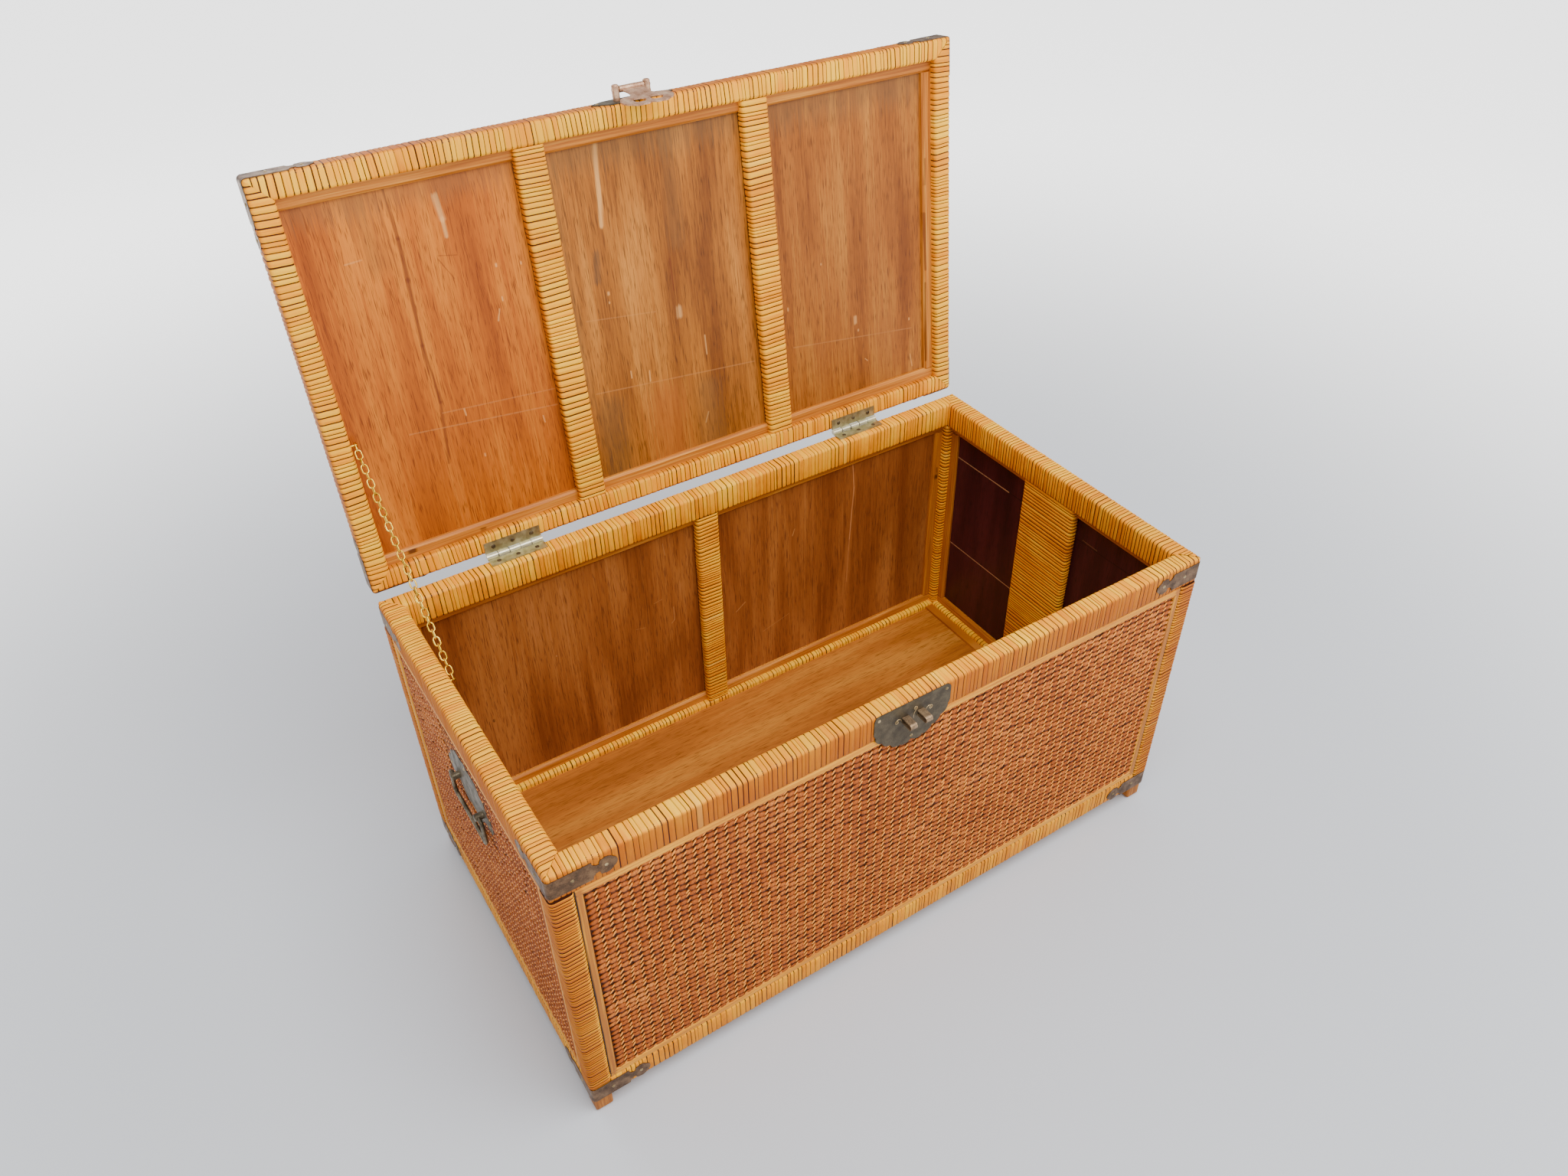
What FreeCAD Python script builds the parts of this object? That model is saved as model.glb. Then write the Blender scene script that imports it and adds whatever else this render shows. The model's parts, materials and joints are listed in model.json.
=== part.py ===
import FreeCAD, Part
import math
import os

V = FreeCAD.Vector

# Cane-bound trunk with a hinged lid, held open by a chain.
# X runs along the front, the front faces -Y, Z is up and the feet stand at zero.
# Lengths are in millimetres and angles in degrees.

# Box frame
box_width = 900.0
box_depth = 496.0
rim_height = 447.0
member_width = 25.0
top_rail_height = 38.0
bottom_rail_height = 32.0
edge_radius = 4.0
foot_height = 25.0
foot_inset = 1.2
foot_chamfer = 3.0

# Wall layers, counted inwards from the outer face of the frame
panel_recess = 3.0
cane_thickness = 3.0
ply_thickness = 4.0
stile_recess = 2.0
long_stile_width = 34.0
side_stile_width = 100.0
bead_width = 10.0
bead_thickness = 3.0
bead_radius = 2.2
moulding_width = 14.0
moulding_thickness = 6.0
moulding_chamfer = 3.0

# Floor
floor_drop = 8.0
floor_thickness = 5.0
floor_strip_width = 14.0
floor_strip_thickness = 4.0

# Lid
lid_thickness = 26.0
lid_gap = 6.0
lid_open_angle = 96.7
lid_stile_width = 36.0
lid_panel_gap = 0.4
lid_moulding_thickness = 6.5

# Butt hinges
hinge_length = 76.0
hinge_spread = 536.0
hinge_leaf_reach = 19.0
hinge_leaf_thickness = 1.5
hinge_back_offset = 4.0
hinge_barrel_radius = 3.2
hinge_pin_radius = 1.6
hinge_knuckle_count = 5
hinge_knuckle_gap = 0.3
hinge_screw_count = 3
hinge_screw_pitch = 26.0
hinge_screw_setback = 7.5

# Fits and helpers
running_clearance = 0.05
free_clearance = 0.3
overrun = 5.0

# Small fasteners
nail_head_radius = 2.2
nail_head_height = 1.1
nail_shank_radius = 0.8
nail_shank_length = 7.0
screw_head_radius = 3.0
screw_head_height = 0.9
screw_shank_radius = 1.5
screw_shank_length = 12.0
screw_slot_width = 0.7
screw_slot_depth = 0.5

# Corner straps
strap_height = 25.0
strap_arm = 76.5
strap_thickness = 1.2
strap_drop = 6.3
strap_lift = 1.0
lid_strap_height = 22.0
strap_nail_shares = (0.36, 0.84)
strap_half_shares = (
    (0.00, 1.00, 0.00),
    (0.64, 1.00, -0.20),
    (0.715, 0.42, 0.00),
    (0.745, 0.42, 0.28),
    (0.80, 0.86, 0.20),
    (0.93, 0.62, 0.14),
    (1.00, 0.00, 0.00),
)

# Lock plate and staples
lock_centre_x = -9.0
lock_width = 107.0
lock_height = 62.0
lock_drop = 1.0
lock_thickness = 1.5
lock_half_shares = (
    (0.00, 0.435, 0.21),
    (0.115, 0.50, 0.00),
    (0.34, 0.50, 0.12),
    (0.50, 0.475, 0.22),
    (0.71, 0.385, 0.20),
    (0.86, 0.275, 0.20),
    (0.985, 0.15, 0.22),
    (0.95, 0.00, 0.00),
)
lock_nail_shares = ((0.10, 0.44), (0.10, -0.44), (0.88, 0.00))
staple_width = 9.0
staple_height = 8.0
staple_reach = 17.0
staple_thickness = 1.5
staple_spread = 21.6

# Hasp
hasp_plate_width = 105.0
hasp_plate_height = 22.0
hasp_plate_thickness = 1.4
hasp_plate_half_shares = (
    (0.00, 0.00, 0.10),
    (0.10, 0.62, 0.08),
    (0.26, 1.00, 0.00),
    (0.74, 1.00, 0.08),
    (0.90, 0.62, 0.10),
    (1.00, 0.00, 0.00),
)
hasp_plate_nail_share = 0.86
hasp_pin_lift = 12.0
hasp_pin_reach = 13.0
hasp_pin_radius = 2.0
hasp_post_radius = 4.3
hasp_post_spread = 40.0
hasp_post_reach = 17.5
hasp_barrel_radius = 3.8
hasp_leaf_thickness = 1.6
hasp_length = 54.0
hasp_width = 66.0
hasp_slot_centre = 42.0
hasp_slot_length = 16.0
hasp_slot_height = 11.0
hasp_tilt_angle = 10.5
hasp_half_shares = (
    (0.00, 0.42, 0.00),
    (0.16, 0.42, -0.10),
    (0.40, 0.38, -0.24),
    (0.52, 0.72, 0.16),
    (0.74, 1.00, 0.18),
    (0.93, 0.74, 0.16),
    (1.00, 0.34, 0.14),
    (0.95, 0.00, 0.00),
)

# Side handles
handle_axis_drop = 51.0
handle_plate_width = 136.0
handle_plate_height = 78.0
handle_plate_drop = 27.0
handle_plate_thickness = 1.4
handle_half_shares = (
    (0.00, 0.00, -0.10),
    (0.06, 0.30, 0.20),
    (0.20, 0.58, 0.20),
    (0.44, 0.80, 0.18),
    (0.62, 1.00, 0.18),
    (0.80, 0.84, -0.16),
    (0.86, 0.46, 0.18),
    (1.00, 0.24, -0.14),
    (0.96, 0.00, 0.00),
)
handle_nail_shares = ((0.12, 0.00), (0.64, 0.86), (0.64, -0.86))
handle_post_spread = 73.0
handle_post_radius = 4.6
handle_post_reach = 10.5
handle_post_round = 1.5
bail_radius = 2.5
bail_reach = 6.2
bail_width = 98.0
bail_drop = 35.0
bail_bend = 5.0
bail_shoulder = 4.2

# Chain
chain_wire_radius = 0.95
chain_link_width = 8.6
chain_pitch_wish = 8.7
chain_slack = 0.15
chain_standoff = 5.6
chain_box_back = 168.0
chain_box_drop = 14.0
chain_lid_back = 191.0
chain_lid_depth = 4.8
chain_head_radius = 4.0
chain_head_height = 1.6
chain_head_clearance = 0.8
chain_screw_bite = 8.0
chain_upper_extra_count = 3

# Values that follow from the ones above
half_width = box_width / 2
half_depth = box_depth / 2
inner_half_width = half_width - member_width
inner_half_depth = half_depth - member_width
rail_base = rim_height - top_rail_height
sill_height = foot_height + bottom_rail_height
cane_face = panel_recess
ply_face = panel_recess + cane_thickness
lining_face = ply_face + ply_thickness
floor_top = sill_height - floor_drop
lid_base = rim_height + lid_gap
lid_top = lid_base + lid_thickness
hinge_y = half_depth + hinge_back_offset
hinge_z = rim_height + lid_gap / 2
hinge_axis_point = V(0, hinge_y, hinge_z)
axis_x = V(1, 0, 0)
axis_y = V(0, 1, 0)
axis_z = V(0, 0, 1)

nodes = {}


# Shapes

def block(low, high):
    size = high.sub(low)
    return Part.makeBox(size.x, size.y, size.z, low)


def edges_along(shape, direction):
    found = []
    for edge in shape.Edges:
        if edge.Curve.TypeId == "Part::GeomLine":
            along = edge.tangentAt(edge.FirstParameter)
            if abs(abs(along.dot(direction)) - 1) < 1e-6:
                found.append(edge)
    return found


def round_bar(low, high, direction, radius):
    bar = block(low, high)
    return bar.makeFillet(radius, edges_along(bar, direction))


def prism(points, sweep):
    wire = Part.makePolygon(points + [points[0]])
    return Part.Face(wire).extrude(sweep)


def outline_face(half_shares, along, across, place):
    """Face with an outline that mirrors about its long axis.

    Each entry gives a place along the axis, a distance from it and how far
    the edge to the next point bulges, all as shares.
    """
    points = []
    middles = []
    for share_a, share_b, bulge_share in half_shares:
        points.append((share_a * along, share_b * across, bulge_share))
    for first, second in zip(points, points[1:]):
        run = (second[0] - first[0], second[1] - first[1])
        middle = ((first[0] + second[0]) / 2 - run[1] * first[2],
                  (first[1] + second[1]) / 2 + run[0] * first[2])
        middles.append(middle)
    edges = []
    for side in (1, -1):
        for index, middle in enumerate(middles):
            start = place(points[index][0], side * points[index][1])
            end = place(points[index + 1][0], side * points[index + 1][1])
            if points[index][2] == 0:
                edges.append(Part.LineSegment(start, end).toShape())
            else:
                via = place(middle[0], side * middle[1])
                edges.append(Part.Arc(start, via, end).toShape())
    first_a, first_b = points[0][0], points[0][1]
    if first_b > 0:
        edges.append(Part.LineSegment(place(first_a, first_b), place(first_a, -first_b)).toShape())
    return Part.Face(Part.Wire(Part.__sortEdges__(edges)))


def stadium(length, height, place, sweep):
    """Slot shape with round ends, centred on its own origin."""
    radius = height / 2
    reach = length / 2 - radius
    edges = [
        Part.LineSegment(place(-reach, -radius), place(reach, -radius)).toShape(),
        Part.Arc(place(reach, -radius), place(reach + radius, 0), place(reach, radius)).toShape(),
        Part.LineSegment(place(reach, radius), place(-reach, radius)).toShape(),
        Part.Arc(place(-reach, radius), place(-reach - radius, 0), place(-reach, -radius)).toShape(),
    ]
    return Part.Face(Part.Wire(edges)).extrude(sweep)


def turned(profile_edges):
    return Part.Face(Part.Wire(profile_edges)).revolve(V(0, 0, 0), axis_z, 360)


def domed(head_radius, head_height, shank_radius, shank_length):
    """Round-headed fastener along +Z with its head seated at the origin."""
    base = V(0, 0, -shank_length)
    corners = [V(shank_radius, 0, -shank_length), V(shank_radius, 0, 0), V(head_radius, 0, 0)]
    crown = V(0, 0, head_height)
    ball = (head_radius ** 2 + head_height ** 2) / (2 * head_height)
    half_turn = math.asin(head_radius / ball) / 2
    via = V(ball * math.sin(half_turn), 0, head_height - ball + ball * math.cos(half_turn))
    edges = [Part.LineSegment(base, corners[0]).toShape()]
    for start, end in zip(corners, corners[1:]):
        edges.append(Part.LineSegment(start, end).toShape())
    edges.append(Part.Arc(corners[-1], via, crown).toShape())
    edges.append(Part.LineSegment(crown, base).toShape())
    return turned(edges)


def seated(shape, point, normal):
    copy = shape.copy()
    copy.Placement = FreeCAD.Placement(point, FreeCAD.Rotation(axis_z, normal))
    return copy


def pipe(points, bend, radius):
    """Round rod along straight runs joined by arcs of one bend radius."""
    edges = []
    cursor = points[0]
    for before, corner, after in zip(points, points[1:], points[2:]):
        back = before.sub(corner).normalize()
        ahead = after.sub(corner).normalize()
        half = back.getAngle(ahead) / 2
        trim = bend / math.tan(half)
        start = corner + back * trim
        end = corner + ahead * trim
        inward = (back + ahead).normalize()
        via = corner + inward * (bend / math.sin(half) - bend)
        edges.append(Part.LineSegment(cursor, start).toShape())
        edges.append(Part.Arc(start, via, end).toShape())
        cursor = end
    edges.append(Part.LineSegment(cursor, points[-1]).toShape())
    heading = points[1].sub(points[0]).normalize()
    ring = Part.Wire(Part.makeCircle(radius, points[0], heading))
    shell = Part.BRepOffsetAPI.MakePipeShell(Part.Wire(edges))
    shell.add(ring)
    shell.build()
    shell.makeSolid()
    return shell.shape()


def plan_prism(grow, low, high):
    """Rounded plan of the trunk, grown sideways, between two heights."""
    corner = V(-half_width - grow, -half_depth - grow, low)
    far = V(half_width + grow, half_depth + grow, high)
    return round_bar(corner, far, axis_z, edge_radius + grow)


def turn_to_open(shape):
    copy = shape.copy()
    copy.rotate(hinge_axis_point, axis_x, -lid_open_angle)
    return copy


def add(name, shapes, on_lid=False):
    parts = shapes if isinstance(shapes, list) else [shapes]
    nodes[name] = [turn_to_open(part) for part in parts] if on_lid else parts


# Frame rings with mitred corners, used for the rim and for the lid

def mitred_ring(low, high):
    limit = plan_prism(0, low, high)
    ring = {}
    for side in ("front", "back", "left", "right"):
        along_x = side in ("front", "back")
        sign = -1 if side in ("front", "left") else 1
        outer, inner = (half_depth, inner_half_depth) if along_x else (half_width, inner_half_width)
        reach, short = (half_width, inner_half_width) if along_x else (half_depth, inner_half_depth)
        near, far = sorted((sign * outer, sign * inner))
        if along_x:
            bar = round_bar(V(-reach, near, low), V(reach, far, high), axis_x, edge_radius)
            corners = [(-reach, sign * outer), (reach, sign * outer), (short, sign * inner), (-short, sign * inner)]
        else:
            bar = round_bar(V(near, -reach, low), V(far, reach, high), axis_y, edge_radius)
            corners = [(sign * outer, -reach), (sign * outer, reach), (sign * inner, short), (sign * inner, -short)]
        wedge = prism([V(x, y, low) for x, y in corners], V(0, 0, high - low))
        ring[side] = bar.common(wedge).common(limit)
    return ring


# A wall is drawn in its own plane: u along the wall, w up, d inwards from its outer face

class Wall:
    def __init__(self, side):
        self.side = side
        self.along_x = side in ("front", "back")
        self.sign = -1 if side in ("front", "left") else 1
        self.face = half_depth if self.along_x else half_width
        self.reach = inner_half_width if self.along_x else inner_half_depth
        self.inward = axis_y * -self.sign if self.along_x else axis_x * -self.sign
        self.along = axis_x if self.along_x else axis_y

    def point(self, u, w, d):
        out = self.sign * (self.face - d)
        return V(u, out, w) if self.along_x else V(out, u, w)

    def slab(self, u_span, w_span, d_span):
        first = self.point(u_span[0], w_span[0], d_span[0])
        last = self.point(u_span[1], w_span[1], d_span[1])
        low = V(min(first.x, last.x), min(first.y, last.y), min(first.z, last.z))
        high = V(max(first.x, last.x), max(first.y, last.y), max(first.z, last.z))
        return block(low, high)


def strip_profile(wide, thick, chamfer):
    return [(0, 0), (wide, 0), (wide, thick - chamfer), (wide - chamfer, thick), (0, thick)]


def wall_strip(wall, u_span, edge, towards, d_face):
    """Chamfered moulding strip. It runs up where edge is a place along u."""
    profile = strip_profile(moulding_width, moulding_thickness, moulding_chamfer)
    upright = edge[0] == "u"
    points = []
    for wide, thick in profile:
        at = edge[1] + towards * wide
        if upright:
            points.append(wall.point(at, u_span[0], d_face + thick))
        else:
            points.append(wall.point(u_span[0], at, d_face + thick))
    run = u_span[1] - u_span[0]
    return prism(points, axis_z * run if upright else wall.along * run)


def bead_frame(place, u_reach, w_low, w_high, out):
    """Four mitred half-round strips around a panel."""
    wide = bead_width
    spans = [
        ((-u_reach, w_low), (u_reach, w_low), (u_reach - wide, w_low + wide), (-u_reach + wide, w_low + wide)),
        ((-u_reach, w_high), (u_reach, w_high), (u_reach - wide, w_high - wide), (-u_reach + wide, w_high - wide)),
        ((-u_reach, w_low), (-u_reach, w_high), (-u_reach + wide, w_high - wide), (-u_reach + wide, w_low + wide)),
        ((u_reach, w_low), (u_reach, w_high), (u_reach - wide, w_high - wide), (u_reach - wide, w_low + wide)),
    ]
    strips = []
    for span in spans:
        base = [place(u, w) for u, w in span]
        wedge = prism(base, out * bead_thickness)
        low = V(*[min(getattr(p, c) for v in wedge.Vertexes for p in (v.Point,)) for c in "xyz"])
        high = V(*[max(getattr(p, c) for v in wedge.Vertexes for p in (v.Point,)) for c in "xyz"])
        run = base[1].sub(base[0]).normalize()
        bar = block(low, high)
        crown = []
        for edge in edges_along(bar, run):
            lift = edge.Vertexes[0].Point.sub(base[0]).dot(out)
            if lift > bead_thickness / 2:
                crown.append(edge)
        strips.append(bar.makeFillet(bead_radius, crown).common(wedge))
    return strips


# Box frame

walls = {side: Wall(side) for side in ("front", "back", "left", "right")}

for side, rail in mitred_ring(rail_base, rim_height).items():
    add("top_rail_" + side, rail)

post_shape = round_bar(V(-half_width, -half_depth, foot_height),
                       V(-inner_half_width, -inner_half_depth, rail_base), axis_z, edge_radius)
foot_low = V(-half_width + foot_inset, -half_depth + foot_inset, 0)
foot_high = V(-inner_half_width - foot_inset, -inner_half_depth - foot_inset, foot_height)
foot_shape = round_bar(foot_low, foot_high, axis_z, edge_radius - foot_inset)
foot_base_edges = [e for e in foot_shape.Edges if e.BoundBox.ZMax < foot_chamfer / 2]
foot_shape = foot_shape.makeChamfer(foot_chamfer, foot_base_edges)
corner_shape = post_shape.fuse(foot_shape).removeSplitter()


def four_corners(shape):
    """Copies of a front-left corner piece at all four corners."""
    right = shape.mirror(V(0, 0, 0), axis_x)
    return {
        "front_left": shape,
        "front_right": right,
        "back_left": shape.mirror(V(0, 0, 0), axis_y),
        "back_right": right.mirror(V(0, 0, 0), axis_y),
    }


for corner, post in four_corners(corner_shape).items():
    add("post_" + corner, post)

for side, wall in walls.items():
    low = wall.point(-wall.reach, foot_height, 0)
    high = wall.point(wall.reach, sill_height, member_width)
    near = V(min(low.x, high.x), min(low.y, high.y), low.z)
    far = V(max(low.x, high.x), max(low.y, high.y), high.z)
    add("bottom_rail_" + side, round_bar(near, far, wall.along, edge_radius))

# Wall panels, stiles, outer beading and inner mouldings

mouldings = []
beadings = []
side_stiles = []
for side, wall in walls.items():
    u_span = (-wall.reach, wall.reach)
    w_span = (sill_height, rail_base)
    add("cane_" + side, wall.slab(u_span, w_span, (cane_face, ply_face)))
    add("lining_" + side, wall.slab(u_span, w_span, (ply_face, lining_face)))
    stile_half = (long_stile_width if wall.along_x else side_stile_width) / 2
    low = wall.point(-stile_half, sill_height, lining_face)
    high = wall.point(stile_half, rail_base, member_width - stile_recess)
    near = V(min(low.x, high.x), min(low.y, high.y), low.z)
    far = V(max(low.x, high.x), max(low.y, high.y), high.z)
    stile = block(near, far)
    inner_edges = []
    for edge in edges_along(stile, axis_z):
        depth = wall.face - wall.sign * (edge.Vertexes[0].Y if wall.along_x else edge.Vertexes[0].X)
        if depth > (lining_face + member_width) / 2:
            inner_edges.append(edge)
    stile = stile.makeFillet(edge_radius, inner_edges)
    if wall.along_x:
        add("stile_" + side, stile)
    else:
        side_stiles.append(stile)
    upright_span = (sill_height + moulding_width, rail_base - moulding_width)
    for sign in (-1, 1):
        bay = tuple(sorted((sign * stile_half, sign * wall.reach)))
        mouldings.append(wall_strip(wall, bay, ("w", sill_height), 1, lining_face))
        mouldings.append(wall_strip(wall, bay, ("w", rail_base), -1, lining_face))
        mouldings.append(wall_strip(wall, upright_span, ("u", sign * wall.reach), -sign, lining_face))

    def on_cane(u, w, wall=wall):
        return wall.point(u, w, cane_face)

    beadings += bead_frame(on_cane, wall.reach, sill_height, rail_base, wall.inward * -1)

add("side_stiles", side_stiles)
add("beading", beadings)

# Floor

add("floor_panel", block(V(-inner_half_width, -inner_half_depth, floor_top - floor_thickness),
                         V(inner_half_width, inner_half_depth, floor_top)))
for sign in (-1, 1):
    inner, outer = sorted((sign * (inner_half_width - floor_strip_width), sign * inner_half_width))
    mouldings.append(block(V(inner, -inner_half_depth, floor_top),
                           V(outer, inner_half_depth, floor_top + floor_strip_thickness)))
add("inner_moulding", mouldings)

# Lid, drawn shut and then turned open about the hinge line

for side, rail in mitred_ring(lid_base, lid_top).items():
    add("lid_rail_" + side, rail, True)

lid_stile_step = (inner_half_width * 2 + lid_stile_width) / 3
lid_stile_x = lid_stile_step / 2
lid_cane_top = lid_top - panel_recess
lid_ply_top = lid_cane_top - cane_thickness
lid_lining = lid_ply_top - ply_thickness
lid_stile_base = lid_base + stile_recess
lid_stiles = []
for centre in (-lid_stile_x, lid_stile_x):
    stile = block(V(centre - lid_stile_width / 2, -inner_half_depth, lid_stile_base),
                  V(centre + lid_stile_width / 2, inner_half_depth, lid_lining))
    lower = [e for e in edges_along(stile, axis_y) if e.Vertexes[0].Z < (lid_stile_base + lid_lining) / 2]
    lid_stiles.append(stile.makeFillet(edge_radius, lower))
add("lid_stiles", lid_stiles, True)

panel_edges = (-inner_half_width, -lid_stile_x, lid_stile_x, inner_half_width)
for index, name in enumerate(("left", "middle", "right")):
    start = panel_edges[index] + (lid_panel_gap / 2 if index > 0 else 0)
    end = panel_edges[index + 1] - (lid_panel_gap / 2 if index < 2 else 0)
    add("lid_panel_" + name, block(V(start, -inner_half_depth, lid_lining),
                                   V(end, inner_half_depth, lid_ply_top)), True)
add("lid_cane", block(V(-inner_half_width, -inner_half_depth, lid_ply_top),
                      V(inner_half_width, inner_half_depth, lid_cane_top)), True)


def on_lid_cane(u, w):
    return V(u, w, lid_cane_top)


add("lid_beading", bead_frame(on_lid_cane, inner_half_width, -inner_half_depth, inner_half_depth, axis_z), True)

lid_strips = []
bays = [(-inner_half_width, -lid_stile_x - lid_stile_width / 2),
        (-lid_stile_x + lid_stile_width / 2, lid_stile_x - lid_stile_width / 2),
        (lid_stile_x + lid_stile_width / 2, inner_half_width)]
lid_profile = strip_profile(moulding_width, lid_moulding_thickness, moulding_chamfer)
for sign in (-1, 1):
    for start, end in bays:
        points = [V(start, sign * (inner_half_depth - wide), lid_lining - thick) for wide, thick in lid_profile]
        lid_strips.append(prism(points, axis_x * (end - start)))
# On the left the panel meets the rail without a strip
side_reach = inner_half_depth - moulding_width
points = [V(inner_half_width - wide, -side_reach, lid_lining - thick) for wide, thick in lid_profile]
lid_strips.append(prism(points, axis_y * (2 * side_reach)))
add("lid_moulding", lid_strips, True)

# Corner straps and their nails

nail = domed(nail_head_radius, nail_head_height, nail_shank_radius, nail_shank_length)


def strap_and_nails(low, height):
    """Bent strap on the front-left corner, with two nails in each arm."""
    high = low + height
    middle = low + height / 2
    sleeve = plan_prism(strap_thickness, low, high).cut(plan_prism(0, low - overrun, high + overrun))
    grown_x = half_width + strap_thickness
    grown_y = half_depth + strap_thickness

    def on_front(a, b):
        return V(-grown_x + a, -grown_y, middle + b)

    def on_side(a, b):
        return V(-grown_x, -grown_y + a, middle + b)

    depth = strap_thickness + edge_radius
    front = outline_face(strap_half_shares, strap_arm, height / 2, on_front).extrude(axis_y * depth)
    flank = outline_face(strap_half_shares, strap_arm, height / 2, on_side).extrude(axis_x * depth)
    strap = sleeve.common(front).fuse(sleeve.common(flank)).removeSplitter()
    heads = []
    for share in strap_nail_shares:
        heads.append(seated(nail, on_front(share * strap_arm, 0), axis_y * -1))
        heads.append(seated(nail, on_side(share * strap_arm, 0), axis_x * -1))
    return strap, heads


def strap_set(low, height):
    strap, heads = strap_and_nails(low, height)
    straps = list(four_corners(strap).values())
    every_head = []
    for head in heads:
        every_head += list(four_corners(head).values())
    return straps, every_head


top_straps, top_nails = strap_set(rim_height - strap_drop - strap_height, strap_height)
base_straps, base_nails = strap_set(foot_height + strap_lift, strap_height)
lid_straps, lid_nails = strap_set(lid_base + (lid_thickness - lid_strap_height) / 2, lid_strap_height)
box_nails = top_nails + base_nails
add("corner_straps", top_straps + base_straps)
add("lid_corner_straps", lid_straps, True)

# Lock plate and staples

front_y = -half_depth
lock_top = rim_height - lock_drop


def on_lock(a, b):
    return V(lock_centre_x + b, front_y, lock_top - a)


add("lock_plate", outline_face(lock_half_shares, lock_height, lock_width, on_lock).extrude(axis_y * -lock_thickness))
for share_a, share_b in lock_nail_shares:
    seat = on_lock(share_a * lock_height, share_b * lock_width) + axis_y * -lock_thickness
    box_nails.append(seated(nail, seat, axis_y * -1))

hasp_pin_y = front_y - hasp_pin_reach
hasp_pin_z = lid_base + hasp_pin_lift
staple_z = hasp_pin_z - hasp_slot_centre * math.cos(math.radians(hasp_tilt_angle))
staples = []
for sign in (-1, 1):
    left = lock_centre_x + sign * staple_spread / 2 - staple_width / 2
    root = front_y - lock_thickness
    body = staple_reach * 2

    def on_staple(a, b, left=left):
        return V(left, root + a, staple_z + b)

    outer = stadium(body, staple_height, on_staple, axis_x * staple_width)
    inner_height = staple_height - 2 * staple_thickness
    inner = stadium(body - 2 * staple_thickness, inner_height, on_staple, axis_x * staple_width)
    keep = block(V(left, root - staple_reach, staple_z - staple_height),
                 V(left + staple_width, root, staple_z + staple_height))
    staples.append(outer.cut(inner).common(keep))
add("lock_staples", staples)

# Hasp on the lid: back plate, posts, pin and swinging leaf

plate_y = front_y - hasp_plate_thickness


def on_lid_front(a, b):
    return V(lock_centre_x - hasp_plate_width / 2 + a, front_y, hasp_pin_z + b)


hasp_back = outline_face(hasp_plate_half_shares, hasp_plate_width, hasp_plate_height / 2, on_lid_front)
add("hasp_back_plate", hasp_back.extrude(axis_y * -hasp_plate_thickness), True)
for sign in (-1, 1):
    seat = V(lock_centre_x + sign * hasp_plate_nail_share * hasp_plate_width / 2, plate_y, hasp_pin_z)
    lid_nails.append(seated(nail, seat, axis_y * -1))

pin_half = hasp_post_spread / 2 + hasp_post_radius
hasp_bore = Part.makeCylinder(hasp_pin_radius + running_clearance, 2 * pin_half + 2 * overrun,
                              V(lock_centre_x - pin_half - overrun, hasp_pin_y, hasp_pin_z), axis_x)
posts = []
for sign in (-1, 1):
    seat = V(lock_centre_x + sign * hasp_post_spread / 2, plate_y, hasp_pin_z)
    post = Part.makeCylinder(hasp_post_radius, hasp_post_reach, seat, axis_y * -1)
    top_edge = [e for e in post.Edges if e.BoundBox.YMax < plate_y - hasp_post_reach / 2 and e.Closed]
    post = post.makeFillet(hasp_post_radius - hasp_pin_radius, top_edge)
    posts.append(post.cut(hasp_bore))
add("hasp_posts", posts, True)
add("hasp_pin", Part.makeCylinder(hasp_pin_radius, 2 * pin_half,
                                  V(lock_centre_x - pin_half, hasp_pin_y, hasp_pin_z), axis_x), True)

barrel_half = hasp_post_spread / 2 - hasp_post_radius - free_clearance
barrel = Part.makeCylinder(hasp_barrel_radius, 2 * barrel_half,
                           V(lock_centre_x - barrel_half, hasp_pin_y, hasp_pin_z), axis_x)


def on_hasp(a, b):
    return V(lock_centre_x + b, hasp_pin_y - hasp_leaf_thickness / 2, hasp_pin_z - a)


leaf = outline_face(hasp_half_shares, hasp_length, hasp_width / 2, on_hasp)
leaf = leaf.extrude(axis_y * hasp_leaf_thickness)
for sign in (-1, 1):
    def on_slot(a, b, sign=sign):
        return V(lock_centre_x + sign * staple_spread / 2 + a, hasp_pin_y - overrun,
                 hasp_pin_z - hasp_slot_centre + b)

    leaf = leaf.cut(stadium(hasp_slot_length, hasp_slot_height, on_slot, axis_y * (2 * overrun)))
hasp = leaf.fuse(barrel).cut(hasp_bore).removeSplitter()
hasp.rotate(V(0, hasp_pin_y, hasp_pin_z), axis_x, hasp_tilt_angle)
add("hasp", hasp, True)

# Side handles: plate, posts and a hanging bail on each end

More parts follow.
